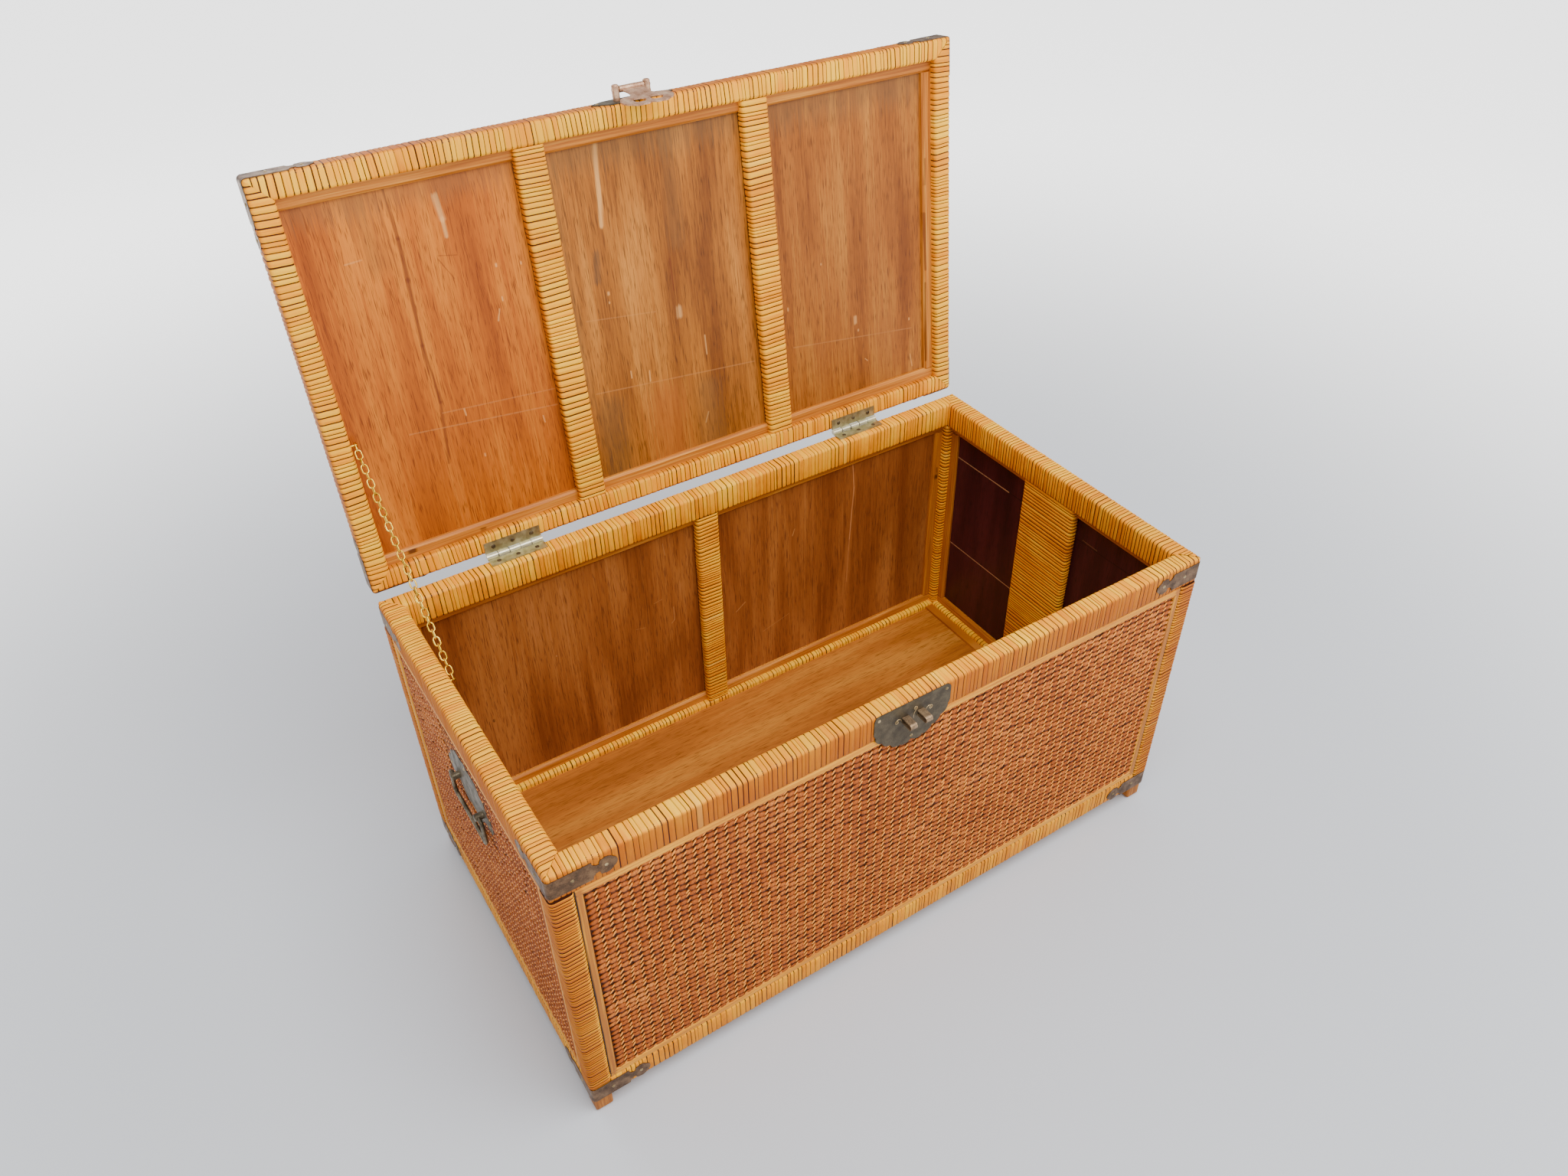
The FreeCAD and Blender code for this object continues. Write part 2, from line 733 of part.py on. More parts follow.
handle_plates = []
handle_posts = []
plate_top = rail_base - handle_plate_drop
handle_height = plate_top - handle_axis_drop
for side in ("left", "right"):
    wall = walls[side]
    out = wall.inward * -1

    def on_plate(a, b, wall=wall):
        return wall.point(b, plate_top - a, cane_face)

    plate = outline_face(handle_half_shares, handle_plate_height, handle_plate_width / 2, on_plate)
    handle_plates.append(plate.extrude(out * handle_plate_thickness))
    for share_a, share_b in handle_nail_shares:
        seat = on_plate(share_a * handle_plate_height, share_b * handle_plate_width / 2)
        box_nails.append(seated(nail, seat + out * handle_plate_thickness, out))
    face = cane_face - handle_plate_thickness
    axis_d = face - bail_reach
    bore = Part.makeCylinder(bail_radius + running_clearance, bail_width + 2 * overrun,
                             wall.point(-bail_width / 2 - overrun, handle_height, axis_d), axis_y)
    for sign in (-1, 1):
        seat = wall.point(sign * handle_post_spread / 2, handle_height, face)
        post = Part.makeCylinder(handle_post_radius, handle_post_reach, seat, out)
        tip = [e for e in post.Edges if e.Closed and (e.Vertexes[0].Point - seat).dot(out) > handle_post_reach / 2]
        handle_posts.append(post.makeFillet(handle_post_round, tip).cut(bore))
    inner_end = handle_post_spread / 2 - bail_shoulder
    route = []
    for u, drop in ((-inner_end, 0), (-bail_width / 2, 0), (-bail_width / 2, bail_drop),
                    (bail_width / 2, bail_drop), (bail_width / 2, 0), (inner_end, 0)):
        route.append(wall.point(u, handle_height - drop, axis_d))
    rod = pipe(route, bail_bend, bail_radius)
    add("bail_" + side, rod)
add("handle_plates", handle_plates)
add("handle_posts", handle_posts)
add("box_nails", box_nails)
add("lid_nails", lid_nails, True)

# Butt hinges

knuckle = hinge_length / hinge_knuckle_count
box_leaves = []
lid_leaves = []
pins = []
box_screws = []
lid_screws = []
screw = domed(screw_head_radius, screw_head_height, screw_shank_radius, screw_shank_length)
slot_low = V(-screw_head_radius, -screw_slot_width / 2, screw_head_height - screw_slot_depth)
slot_high = V(screw_head_radius, screw_slot_width / 2, screw_head_height + overrun)
screw = screw.cut(block(slot_low, slot_high))
for sign in (-1, 1):
    start = sign * hinge_spread / 2 - hinge_length / 2
    bore = Part.makeCylinder(hinge_pin_radius + running_clearance, hinge_length + 2 * overrun,
                             V(start - overrun, hinge_y, hinge_z), axis_x)
    pins.append(Part.makeCylinder(hinge_pin_radius, hinge_length, V(start, hinge_y, hinge_z), axis_x))
    for leaves, base, first, normal, screws in (
            (box_leaves, rim_height, 0, axis_z, box_screws),
            (lid_leaves, lid_base - hinge_leaf_thickness, 1, axis_z * -1, lid_screws)):
        plate = block(V(start, hinge_y - hinge_leaf_reach, base),
                      V(start + hinge_length, hinge_y, base + hinge_leaf_thickness))
        for index in range(hinge_knuckle_count):
            left = start + index * knuckle
            if index % 2 == first:
                continue
            clear = hinge_barrel_radius + free_clearance
            notch = block(V(left - hinge_knuckle_gap / 2, hinge_y - clear, base - overrun),
                          V(left + knuckle + hinge_knuckle_gap / 2, hinge_y + overrun, base + overrun))
            plate = plate.cut(notch)
        for index in range(first, hinge_knuckle_count, 2):
            left = start + index * knuckle
            trim_left = hinge_knuckle_gap / 2 if index > 0 else 0
            trim_right = hinge_knuckle_gap / 2 if index < hinge_knuckle_count - 1 else 0
            roll = Part.makeCylinder(hinge_barrel_radius, knuckle - trim_left - trim_right,
                                     V(left + trim_left, hinge_y, hinge_z), axis_x)
            plate = plate.fuse(roll)
        leaves.append(plate.cut(bore).removeSplitter())
        face = base + hinge_leaf_thickness if normal.z > 0 else base
        for index in range(hinge_screw_count):
            offset = (index - (hinge_screw_count - 1) / 2) * hinge_screw_pitch
            seat = V(sign * hinge_spread / 2 + offset, hinge_y - hinge_leaf_reach + hinge_screw_setback, face)
            screws.append(seated(screw, seat, normal))
add("hinge_leaves_box", box_leaves)
add("hinge_leaves_lid", lid_leaves, True)
add("hinge_pins", pins)
add("hinge_screws_box", box_screws)
add("hinge_screws_lid", lid_screws, True)

# Chain: two straight runs of links that meet in the middle, and the screws they hang on

chain_x = -inner_half_width + chain_standoff
box_anchor = V(chain_x, half_depth - chain_box_back, rim_height - chain_box_drop)
lid_anchor_shut = V(chain_x, half_depth - chain_lid_back, lid_base + chain_lid_depth)


def turn_point(point):
    mark = Part.Vertex(point)
    mark.rotate(hinge_axis_point, axis_x, -lid_open_angle)
    return mark.Point


lid_anchor = turn_point(lid_anchor_shut)
wire = chain_wire_radius
end_reach = screw_shank_radius + chain_slack
chain_run = lid_anchor.sub(box_anchor)
chain_course = chain_run.Length
heading = V(chain_run).normalize()

# The count is odd, so that the first and the last link both lie flat against the rails.
link_count = 2 * round((chain_course / chain_pitch_wish - 1) / 2) + 1
link_inner = (chain_course + 2 * end_reach + (link_count - 1) * chain_slack) / link_count
link_bow = chain_link_width / 2 - wire
link_straight = link_inner + 2 * wire - 2 * link_bow
link = None
for sign in (-1, 1):
    bow = Part.makeTorus(link_bow, wire, V(0, 0, 0), axis_z, 0, 360, 180)
    bow.rotate(V(0, 0, 0), axis_z, -90 * sign)
    bow.translate(V(sign * link_straight / 2, 0, 0))
    leg = Part.makeCylinder(wire, link_straight, V(-link_straight / 2, sign * link_bow, 0), axis_x)
    link = bow.fuse(leg) if link is None else link.fuse(bow).fuse(leg)
link = link.removeSplitter()

links = []
for index in range(link_count):
    at = box_anchor + heading * ((index + 0.5) * link_inner - end_reach - index * chain_slack)
    flat = index % 2 == 0
    normal = axis_x if flat else axis_x.cross(heading)
    spin = FreeCAD.Rotation(heading, normal.cross(heading), normal, "XYZ")
    piece = link.copy()
    piece.Placement = FreeCAD.Placement(at, spin)
    links.append(piece)
lower_count = (link_count - chain_upper_extra_count) // 2
add("chain_lower", links[:lower_count])
add("chain_upper", links[lower_count:])

chain_screw = domed(chain_head_radius, chain_head_height, screw_shank_radius,
                    chain_standoff + wire + chain_head_clearance + chain_screw_bite)
head_x = chain_x + wire + chain_head_clearance
add("chain_screw_box", seated(chain_screw, V(head_x, box_anchor.y, box_anchor.z), axis_x))
add("chain_screw_lid", seated(chain_screw, V(head_x, lid_anchor_shut.y, lid_anchor_shut.z), axis_x), True)

# Centre the open trunk over the origin and write every node

depth_low = min(s.BoundBox.YMin for shapes in nodes.values() for s in shapes)
depth_high = max(s.BoundBox.YMax for shapes in nodes.values() for s in shapes)
shift_y = -(depth_low + depth_high) / 2

os.makedirs("parts", exist_ok=True)
for name, shapes in nodes.items():
    moved = []
    for shape in shapes:
        solids = shape.Solids
        for solid in solids:
            copy = solid.copy()
            copy.translate(V(0, shift_y, 0))
            moved.append(copy)
    whole = moved[0] if len(moved) == 1 else Part.makeCompound(moved)
    whole.exportStep("parts/" + name + ".step")

print("nodes", len(nodes), "links", link_count, "lower", lower_count)
print("shift_y", round(shift_y, 4), "hinge", round(hinge_y + shift_y, 4), round(hinge_z, 4))
print("box_anchor", box_anchor + V(0, shift_y, 0), "lid_anchor", lid_anchor + V(0, shift_y, 0))
pin_open = turn_point(V(lock_centre_x, hasp_pin_y, hasp_pin_z))
print("hasp_pin", pin_open + V(0, shift_y, 0))
print("chain course", round(chain_course, 4), "link inner", round(link_inner, 4))
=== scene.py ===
"""Looks of a cane-bound trunk, laid out as an add-on and run as a script."""

import json
import math
from functools import partial

import bmesh
import bpy
import numpy as np
from mathutils import Matrix, Vector


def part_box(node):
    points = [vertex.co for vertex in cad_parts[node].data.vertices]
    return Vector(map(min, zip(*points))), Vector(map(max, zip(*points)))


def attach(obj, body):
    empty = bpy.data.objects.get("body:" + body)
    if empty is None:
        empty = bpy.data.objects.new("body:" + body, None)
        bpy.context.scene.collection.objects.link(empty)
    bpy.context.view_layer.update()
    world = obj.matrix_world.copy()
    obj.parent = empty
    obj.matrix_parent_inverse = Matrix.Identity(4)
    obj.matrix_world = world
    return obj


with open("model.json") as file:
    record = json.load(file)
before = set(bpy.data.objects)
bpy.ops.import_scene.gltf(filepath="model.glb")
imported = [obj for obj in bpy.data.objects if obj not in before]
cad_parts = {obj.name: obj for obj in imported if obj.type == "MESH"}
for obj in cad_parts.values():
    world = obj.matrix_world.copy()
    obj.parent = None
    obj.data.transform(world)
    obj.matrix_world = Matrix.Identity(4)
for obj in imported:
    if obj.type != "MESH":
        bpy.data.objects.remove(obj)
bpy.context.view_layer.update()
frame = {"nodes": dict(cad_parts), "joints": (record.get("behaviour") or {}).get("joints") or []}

bl_info = {
    "name": "Cane-bound trunk",
    "version": (1, 0, 0),
    "blender": (4, 5, 0),
    "location": "View3D > Sidebar > Trunk",
    "description": "Wraps, weaves and finishes the pieces of a cane-bound trunk",
    "category": "Object",
}

MM = 0.001
# Middle of the trunk in plan
CENTRE = np.array(((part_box("top_rail_left")[0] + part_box("top_rail_right")[1]) / 2)[:2])
SIDES = ("front", "back", "left", "right")
# Axis along which each side runs
AXIS_OF = dict(zip(SIDES, (0, 0, 1, 1)))

# How far hand-wound strips stray: in width, looseness, slant and the slant's wave and ease
WIDTH_SPREAD = (0.6, 1.4)
LOOSEST = 0.25 * MM
SLANT, SLANT_WAVE, SLANT_EASE = 0.6 * MM, 34 * MM, 20 * MM
# Strips under a strap are pressed to this share of their girth, to just beyond its edges
PRESS, PRESS_MARGIN = 0.93, 1.5 * MM
# How far strips stand off the frame's rounded corners
CORNER_PLAY = 0.4 * MM
# How far stitches stray: in size, tilt and place
STITCH_SPREAD, STITCH_TILT, STITCH_DRIFT = (0.85, 1.1), 0.1, 0.45 * MM
# Stitches under a handle plate keep this share of their height
STITCH_PRESS = 0.5
# Stakes: radius as a share of their spacing, and how flat they are
STAKE_RADIUS, STAKE_FLATNESS = 0.28, 0.3
# Seeds of the random draws for the four walls and the lid
WEAVE_SEEDS = dict(zip((*SIDES, "lid"), (40, 41, 42, 43, 50)))

# The lid stands open at rest. Its pieces are made as if it were shut, then turned open.
LID_JOINT = next(j for j in frame["joints"] if j["name"] == "lid_hinge")
HINGE = Vector(LID_JOINT["pos_m"])
LID_TURN = math.radians(LID_JOINT["range_deg"][0])
OPEN_LID = (
    Matrix.Translation(HINGE) @ Matrix.Rotation(LID_TURN, 4, "X") @ Matrix.Translation(-HINGE)
)


def shut_box(node):
    """Lowest and highest corner of a lid node with the lid shut."""
    shut = OPEN_LID.inverted()
    places = np.array([shut @ v.co for v in frame["nodes"][node].data.vertices])
    return Vector(places.min(0)), Vector(places.max(0))


def colour(code):
    """Linear colour, with full alpha, of an sRGB hex value."""
    parts = [int(code[i : i + 2], 16) / 255 for i in (0, 2, 4)]
    return tuple(
        c / 12.92 if c <= 0.04045 else ((c + 0.055) / 1.055) ** 2.4 for c in parts
    ) + (1.0,)


# Settings that a user would change


def length(label, text, mm):
    return bpy.props.FloatProperty(
        name=label, description=text, default=mm * MM, min=0.0, unit="LENGTH", precision=5
    )


def tint(label, text, code):
    return bpy.props.FloatVectorProperty(
        name=label, description=text, default=colour(code), size=4, min=0, max=1,
        subtype="COLOR",
    )


class TrunkSizes(bpy.types.PropertyGroup):
    """Sizes of the cane work."""

    wide_strip: length("Wide strip", "Usual width of a flat cane strip on the rails and lid", 6.3)
    round_strip: length("Round strip", "Usual width of a round cane strip on the stiles", 5.4)
    narrow_strip: length("Narrow strip", "Usual width of a cane strip on the front posts", 5.0)
    strip_crown: length("Strip crown", "How far a strip on a rail bulges from the timber", 0.3)
    strip_sink: length("Strip edge", "How far a strip's edges sink into the timber", 0.1)
    timber_round: length("Timber rounding", "Rounding of the timber's long edges", 4)
    bead_width: length("Beading width", "Width of the strip round a woven panel", 10)
    foot_height: length("Foot height", "Height of the bare feet", 25)
    stake_spacing: length("Stake spacing", "Distance between the upright stakes of the weave", 12.6)
    strand_spacing: length("Strand spacing", "Distance between two rows of stitches", 8.8)
    strand_width: length("Strand width", "Width of a woven strand where it rises", 7.8)
    strand_rise: length("Strand rise", "How far a strand rises over a stake", 1.4)
    scroll_wire: length("Scroll line", "Half the width of the lines on the lock plate", 0.6)


class TrunkTints(bpy.types.PropertyGroup):
    """Colours of the trunk."""

    cane_light: tint("Cane, light", "Palest cane strips", "FFC020")
    cane_mid: tint("Cane, middle", "Usual cane strips", "F49C06")
    cane_dark: tint("Cane, dark", "Darkest cane strips", "C86C00")
    # Also painted shade: the outer faces of the cane turn redder
    cane_red: tint("Cane, red", "Redder strips and outer faces", "9E4C0C")
    cane_pale: tint("Cane, pale", "A few strips cut from pale cane", "FFD070")
    # The gaps hold dark varnish and painted shade
    cane_gap: tint("Cane gaps", "Stain between the strips", "3A0E04")
    weave_light: tint("Weave, light", "Palest woven strands", "F49A40")
    weave_mid: tint("Weave, middle", "Usual woven strands", "AC540C")
    weave_dark: tint("Weave, dark", "Darkest woven strands", "823A08")
    # Painted shadow behind the weave and where strands dive
    weave_shade: tint("Weave gaps", "Backing seen between the strands", "461A06")
    floor: tint("Floor", "Studio floor near the trunk", "CBCED3")
    floor_far: tint("Floor, far", "Studio floor far from the trunk", "EDEDEB")


class TrunkSettings(bpy.types.PropertyGroup):
    """All settings of the trunk."""

    sizes: bpy.props.PointerProperty(type=TrunkSizes)
    tints: bpy.props.PointerProperty(type=TrunkTints)


# Modelling helpers


def begin():
    """Leaves nothing selected and Blender in object mode."""
    if bpy.context.mode != "OBJECT":
        bpy.ops.object.mode_set(mode="OBJECT")
    bpy.ops.object.select_all(action="DESELECT")


def named(name):
    """Names the primitive that was just added and puts its place in its mesh."""
    piece = bpy.context.active_object
    piece.name = piece.data.name = name
    bpy.ops.object.transform_apply(location=True, rotation=True, scale=True)
    return piece


def pick(piece, kind, test):
    """Selects, in edit mode, the VERT, EDGE or FACE items that pass a test."""
    bpy.ops.mesh.select_mode(type=kind)
    bpy.ops.mesh.select_all(action="DESELECT")
    cage = bmesh.from_edit_mesh(piece.data)
    for item in {"VERT": cage.verts, "EDGE": cage.edges, "FACE": cage.faces}[kind]:
        if test(item):
            item.select_set(True)
    cage.select_flush_mode()
    bmesh.update_edit_mesh(piece.data)


def repeat(piece, count, step):
    """Lays a row of copies of the piece's mesh, one step apart."""
    row = piece.modifiers.new("row", "ARRAY")
    row.count = count
    row.use_relative_offset = False
    row.use_constant_offset = True
    row.constant_offset_displace = step
    bpy.ops.object.modifier_apply(modifier=row.name)


def joined(parts, name):
    """Joins pieces into the first, under one name."""
    begin()
    for piece in parts:
        piece.select_set(True)
    bpy.context.view_layer.objects.active = parts[0]
    bpy.ops.object.join()
    parts[0].name = parts[0].data.name = name
    return parts[0]


def places_of(piece):
    places = np.zeros(len(piece.data.vertices) * 3)
    piece.data.vertices.foreach_get("co", places)
    return places.reshape(-1, 3)


def move_to(piece, places):
    piece.data.vertices.foreach_set("co", places.ravel())
    piece.data.update()


def store(piece, name, values):
    """Keeps one number per vertex for the material to read."""
    kept = piece.data.attributes.new(name, "FLOAT", "POINT")
    kept.data.foreach_set("value", np.asarray(values, np.float32))


def hand_over(piece, body, finish):
    """Smooths a finished piece, gives it its material and hangs it on its body."""
    begin()
    piece.select_set(True)
    bpy.context.view_layer.objects.active = piece
    bpy.ops.object.shade_smooth()
    piece.data.materials.clear()
    piece.data.materials.append(finish)
    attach(piece, body)


def dress(finish, *nodes):
    """Gives CAD nodes a finished material."""
    for node in nodes:
        mesh = frame["nodes"][node].data
        mesh.materials.clear()
        mesh.materials.append(finish)


# Materials


def add_node(tree, kind, settings=None, links=None, ramp=None, out=0):
    """Adds a shader node and gives one of its outputs: settings go to its sockets or
    fields, links feed its sockets, and a ramp has places with colours or hex values."""
    node = tree.nodes.new("ShaderNode" + kind)
    for key, value in (settings or {}).items():
        if isinstance(key, int) or key in node.inputs:
            node.inputs[key].default_value = value
        else:
            setattr(node, key, value)
    for key, source in (links or {}).items():
        tree.links.new(source, node.inputs[key])
    if ramp:
        stops = node.color_ramp.elements
        while len(stops) < len(ramp):
            stops.new(1.0)
        for stop, (place, shade) in zip(stops, ramp):
            stop.position = place
            stop.color = colour(shade) if isinstance(shade, str) else shade
    return node.outputs[out]


def new_finish(name, **sockets):
    """A material with one shader, whose unlinked sockets are set here, and the way to add
    nodes to it."""
    finish = bpy.data.materials.new(name)
    finish.use_nodes = True
    tree = finish.node_tree
    tree.nodes.clear()
    shader = add_node(tree, "BsdfPrincipled", sockets)
    out = tree.nodes.new("ShaderNodeOutputMaterial")
    tree.links.new(shader, out.inputs[0])
    return finish, partial(add_node, tree)


def feed(finish, sources):
    """Links outputs to the sockets of a finish's shader, by name."""
    tree = finish.node_tree
    for socket, source in sources.items():
        tree.links.new(source, tree.nodes["Principled BSDF"].inputs[socket])


def coat(finish, shade, texture, rough, bump=None, span=(0.0, 1.0), relief=None):
    """Joins up a finish: its colour, and the roughness that follows a span of a texture.
    A bump has a strength and a depth in millimetres, and follows the relief if there is one."""
    add = partial(add_node, finish.node_tree)
    limits = dict(zip(("From Min", "From Max", "To Min", "To Max"), (*span, *rough)))
    rough = add("MapRange", limits, {"Value": texture})
    feed(finish, {"Base Color": shade, "Roughness": rough})
    if bump:
        depth = {"Strength": bump[0], "Distance": bump[1] * MM}
        height = texture if relief is None else relief
        feed(finish, {"Normal": add("Bump", depth, {"Height": height})})


def place_in(add, on_lid=False):
    """Object coordinates, turned for lid pieces as if the lid were shut."""
    here = add("TexCoord", out="Object")
    if not on_lid:
        return here
    shut = OPEN_LID.inverted()
    turned = {"Location": shut.to_translation(), "Rotation": shut.to_euler()}
    return add("Mapping", turned, {"Vector": here})


def split_cane(tints):
    """Split rattan peel, wound damp on the frame and varnished: fibres run along each
    strip, strips differ in tone, and dark varnish gathers in some of the gaps. Faces are
    painted paler where they face up and redder where they face out, as painted light and
    shade, and painted shade darkens the gaps between rounded strips."""
    finish, add = new_finish("split_cane", **{"Specular IOR Level": 0.1})
    strip, across, around, gap, faded = (
        add("Attribute", {"attribute_name": name}, out="Fac")
        for name in ("strip", "across", "around", "gap", "faded")
    )
    # Fibres about 1 mm wide and 30 mm long, drawn coarser than real so that they show
    spot = add("CombineXYZ", None, {
        i: add("Math", {"operation": "MULTIPLY", 1: scale}, {0: source})
        for i, (source, scale) in enumerate(((around, 35.0), (across, 2.6), (strip, 91.0)))
    })
    fibre = add("TexNoise", {"Scale": 1.0, "Detail": 3.0}, {"Vector": spot})
    # Stains 60 mm across, and batches of redder cane 250 mm long, run over many strips
    here = place_in(add)
    stain = add("TexNoise", {"Scale": 16.0, "Detail": 2.0}, {"Vector": here})
    batch = add("TexNoise", {"Scale": 4.0, "Detail": 1.0}, {"Vector": here})
    # Faces that face up are painted paler, as painted light
    tone = add("Math", {"operation": "MULTIPLY_ADD", 1: 0.18, 2: -0.045}, {0: strip})
    for source, weight in ((faded, 0.17), (fibre, 0.4), (stain, 0.5)):
        tone = add("Math", {"operation": "MULTIPLY_ADD", 1: weight}, {0: source, 2: tone})
    shade = add(
        "ValToRGB", None, {0: tone},
        ramp=[(0.35, tints.cane_dark), (0.58, tints.cane_mid), (0.82, tints.cane_light)],
    )
    # Some batches are redder, and so are the outer faces, as painted shade
    red = add("MapRange", {"From Min": 0.5, "From Max": 0.7, "To Max": 0.3}, {"Value": batch})
    kept = add("MapRange", {"From Min": 0.5, "From Max": -0.1, "To Max": 0.9}, {"Value": faded})
    red = add("Math", {"operation": "MAXIMUM"}, {0: red, 1: kept})
    # A few strips were cut from pale cane
    pale = add("Math", {"operation": "GREATER_THAN", 1: 0.99}, {0: strip})
    pale = add("Math", {"operation": "MULTIPLY", 1: 0.15}, {0: pale})
    # Dark varnish and painted shade lie in the gaps, more in some than in others, less on outer
    # faces
    side = add("Math", {"operation": "ABSOLUTE"}, {0: across})
    edge = add(
        "MapRange",
        {"interpolation_type": "SMOOTHSTEP", "From Min": 0.68, "From Max": 0.98}, {"Value": side},
    )
    gap_by_facing = add("MapRange", {"From Max": 0.5, "To Min": 0.85}, {"Value": faded})
    for share in (gap, gap_by_facing):
        edge = add("Math", {"operation": "MULTIPLY"}, {0: edge, 1: share})
    for share, over in ((red, tints.cane_red), (pale, tints.cane_pale), (edge, tints.cane_gap)):
        shade = add("Mix", {"data_type": "RGBA", 7: over}, {0: share, 6: shade}, out=2)
    coat(finish, shade, fibre, (0.36, 0.6), (0.5, 0.12))
    return finish


def shaded_core_timber(tints, foot_height):
    """Softwood frame under the cane: painted dark, as painted shade seen between the
    strips, and plain varnished wood on the feet, below the cane."""
    finish, add = new_finish("shaded_core_timber", **{"Specular IOR Level": 0.3})
    here = place_in(add)
    # Grain 2 mm wide and 40 mm long, upright as on the feet
    drawn = add("Mapping", {"Scale": (500.0, 500.0, 25.0)}, {"Vector": here})
    grain = add("TexNoise", {"Scale": 1.0, "Detail": 4.0}, {"Vector": drawn})
    # Painted shade under the cane, and the bare wood of the feet
    dark = add("ValToRGB", None, {0: grain}, ramp=[(0.3, "421D06"), (0.7, tints.cane_gap)])
    bare = add(
        "ValToRGB", None, {0: grain}, ramp=[(0.3, "7E4312"), (0.55, "B06A22"), (0.75, "C98A3A")]
    )
    # The painted shade stops within 1 mm, where the cane does
    height = add("SeparateXYZ", None, {0: here}, out="Z")
    stop = {"From Min": foot_height + 0.5 * MM, "From Max": foot_height - 0.5 * MM}
    foot = add("MapRange", stop, {"Value": height})
    shade = add("Mix", {"data_type": "RGBA"}, {0: foot, 6: dark, 7: bare}, out=2)
    coat(finish, shade, grain, (0.5, 0.75))
    return finish


def woven_cane(tints):
    """Thin cane rods woven damp and varnished: strands differ a little in tone, with a
    painted highlight where they rise and painted shade where they dive under their neighbours."""
    finish, add = new_finish("woven_cane", **{"Specular IOR Level": 0.25})
    # The rise attribute holds painted light: highlights where strands rise, shade where they dive
    strand, rise = (
        add("Attribute", {"attribute_name": name}, out="Fac")
        for name in ("strand", "rise")
    )
    here = place_in(add)
    # Fibre flecks about 1.5 mm, and faint stains about 120 mm across
    fleck = add("TexNoise", {"Scale": 650.0, "Detail": 2.0}, {"Vector": here})
    stain = add("TexNoise", {"Scale": 8.0, "Detail": 2.0}, {"Vector": here})
    tone = add("Math", {"operation": "MULTIPLY_ADD", 1: 0.14, 2: 0.11}, {0: strand})
    for source in (fleck, stain):
        tone = add("Math", {"operation": "MULTIPLY_ADD", 1: 0.3}, {0: source, 2: tone})
    # Painted highlight where the strands rise
    painted_highlight = add("MapRange", {"From Min": 0.95, "From Max": 1.5, "To Max": 0.55}, {"Value": rise})
    tone = add("Math", {"operation": "ADD"}, {0: tone, 1: painted_highlight})
    shade = add(
        "ValToRGB", None, {0: tone},
        ramp=[(0.25, tints.weave_dark), (0.5, tints.weave_mid), (0.8, tints.weave_light)],
    )
    # Painted shade where the strands dive under their neighbours
    dive_shade = add(
        "MapRange",
        {"interpolation_type": "SMOOTHSTEP", "From Min": 0.92, "From Max": 0.2}, {"Value": rise},
    )
    shade = add("Mix", {"data_type": "RGBA", 7: tints.weave_shade}, {0: dive_shade, 6: shade}, out=2)
    coat(finish, shade, fleck, (0.42, 0.66))
    return finish


def weave_shadow_sheet(tints):
    """Painted shadow on the panel behind the weave, seen only as dark specks of some 2.5 mm between
    the strands.
    """
    finish, add = new_finish("weave_shadow_sheet", **{"Specular IOR Level": 0.2})
    here = place_in(add)
    fleck = add("TexNoise", {"Scale": 420.0, "Detail": 2.0}, {"Vector": here})
    shade = add("ValToRGB", None, {0: fleck}, ramp=[(0.35, "2E1506"), (0.65, tints.weave_shade)])
    coat(finish, shade, fleck, (0.6, 0.85))
    return finish


def marked(add, board, grain, shade, marks):
    """Old scratches, flakes and cracks, and lines of painted shade, over a shade. A mark is a
    line on the board in millimetres, its half width, its colour and how strongly it shows."""
    for x0, y0, x1, y1, half, code, strength in marks:
        start = Vector((x0, y0, 0)) * MM
        run = Vector((x1 - x0, y1 - y0, 0)) * MM
        half = half * MM
        off = add("VectorMath", {"operation": "SUBTRACT", 1: start}, {0: board})
        along = run / max(run.length_squared, 1e-12)
        part = add("VectorMath", {"operation": "DOT_PRODUCT", 1: along}, {0: off}, out="Value")
        part = add("Clamp", None, {0: part})
        near = add("VectorMath", {"operation": "SCALE", 0: run}, {"Scale": part})
        gap = add("VectorMath", {"operation": "DISTANCE"}, {0: off, 1: near}, out="Value")
        # The grain frays each mark's edge
        frayed = add(
            "Math", {"operation": "MULTIPLY_ADD", 1: 2.4 * half, 2: -1.2 * half}, {0: grain}
        )
        gap = add("Math", {"operation": "ADD"}, {0: gap, 1: frayed})
        fade = {"From Min": half * 1.3, "From Max": half * 0.4, "To Max": strength}
        shown = add("MapRange", fade, {"Value": gap})
        shade = add("Mix", {"data_type": "RGBA", 7: colour(code)}, {0: shown, 6: shade}, out=2)
    return shade


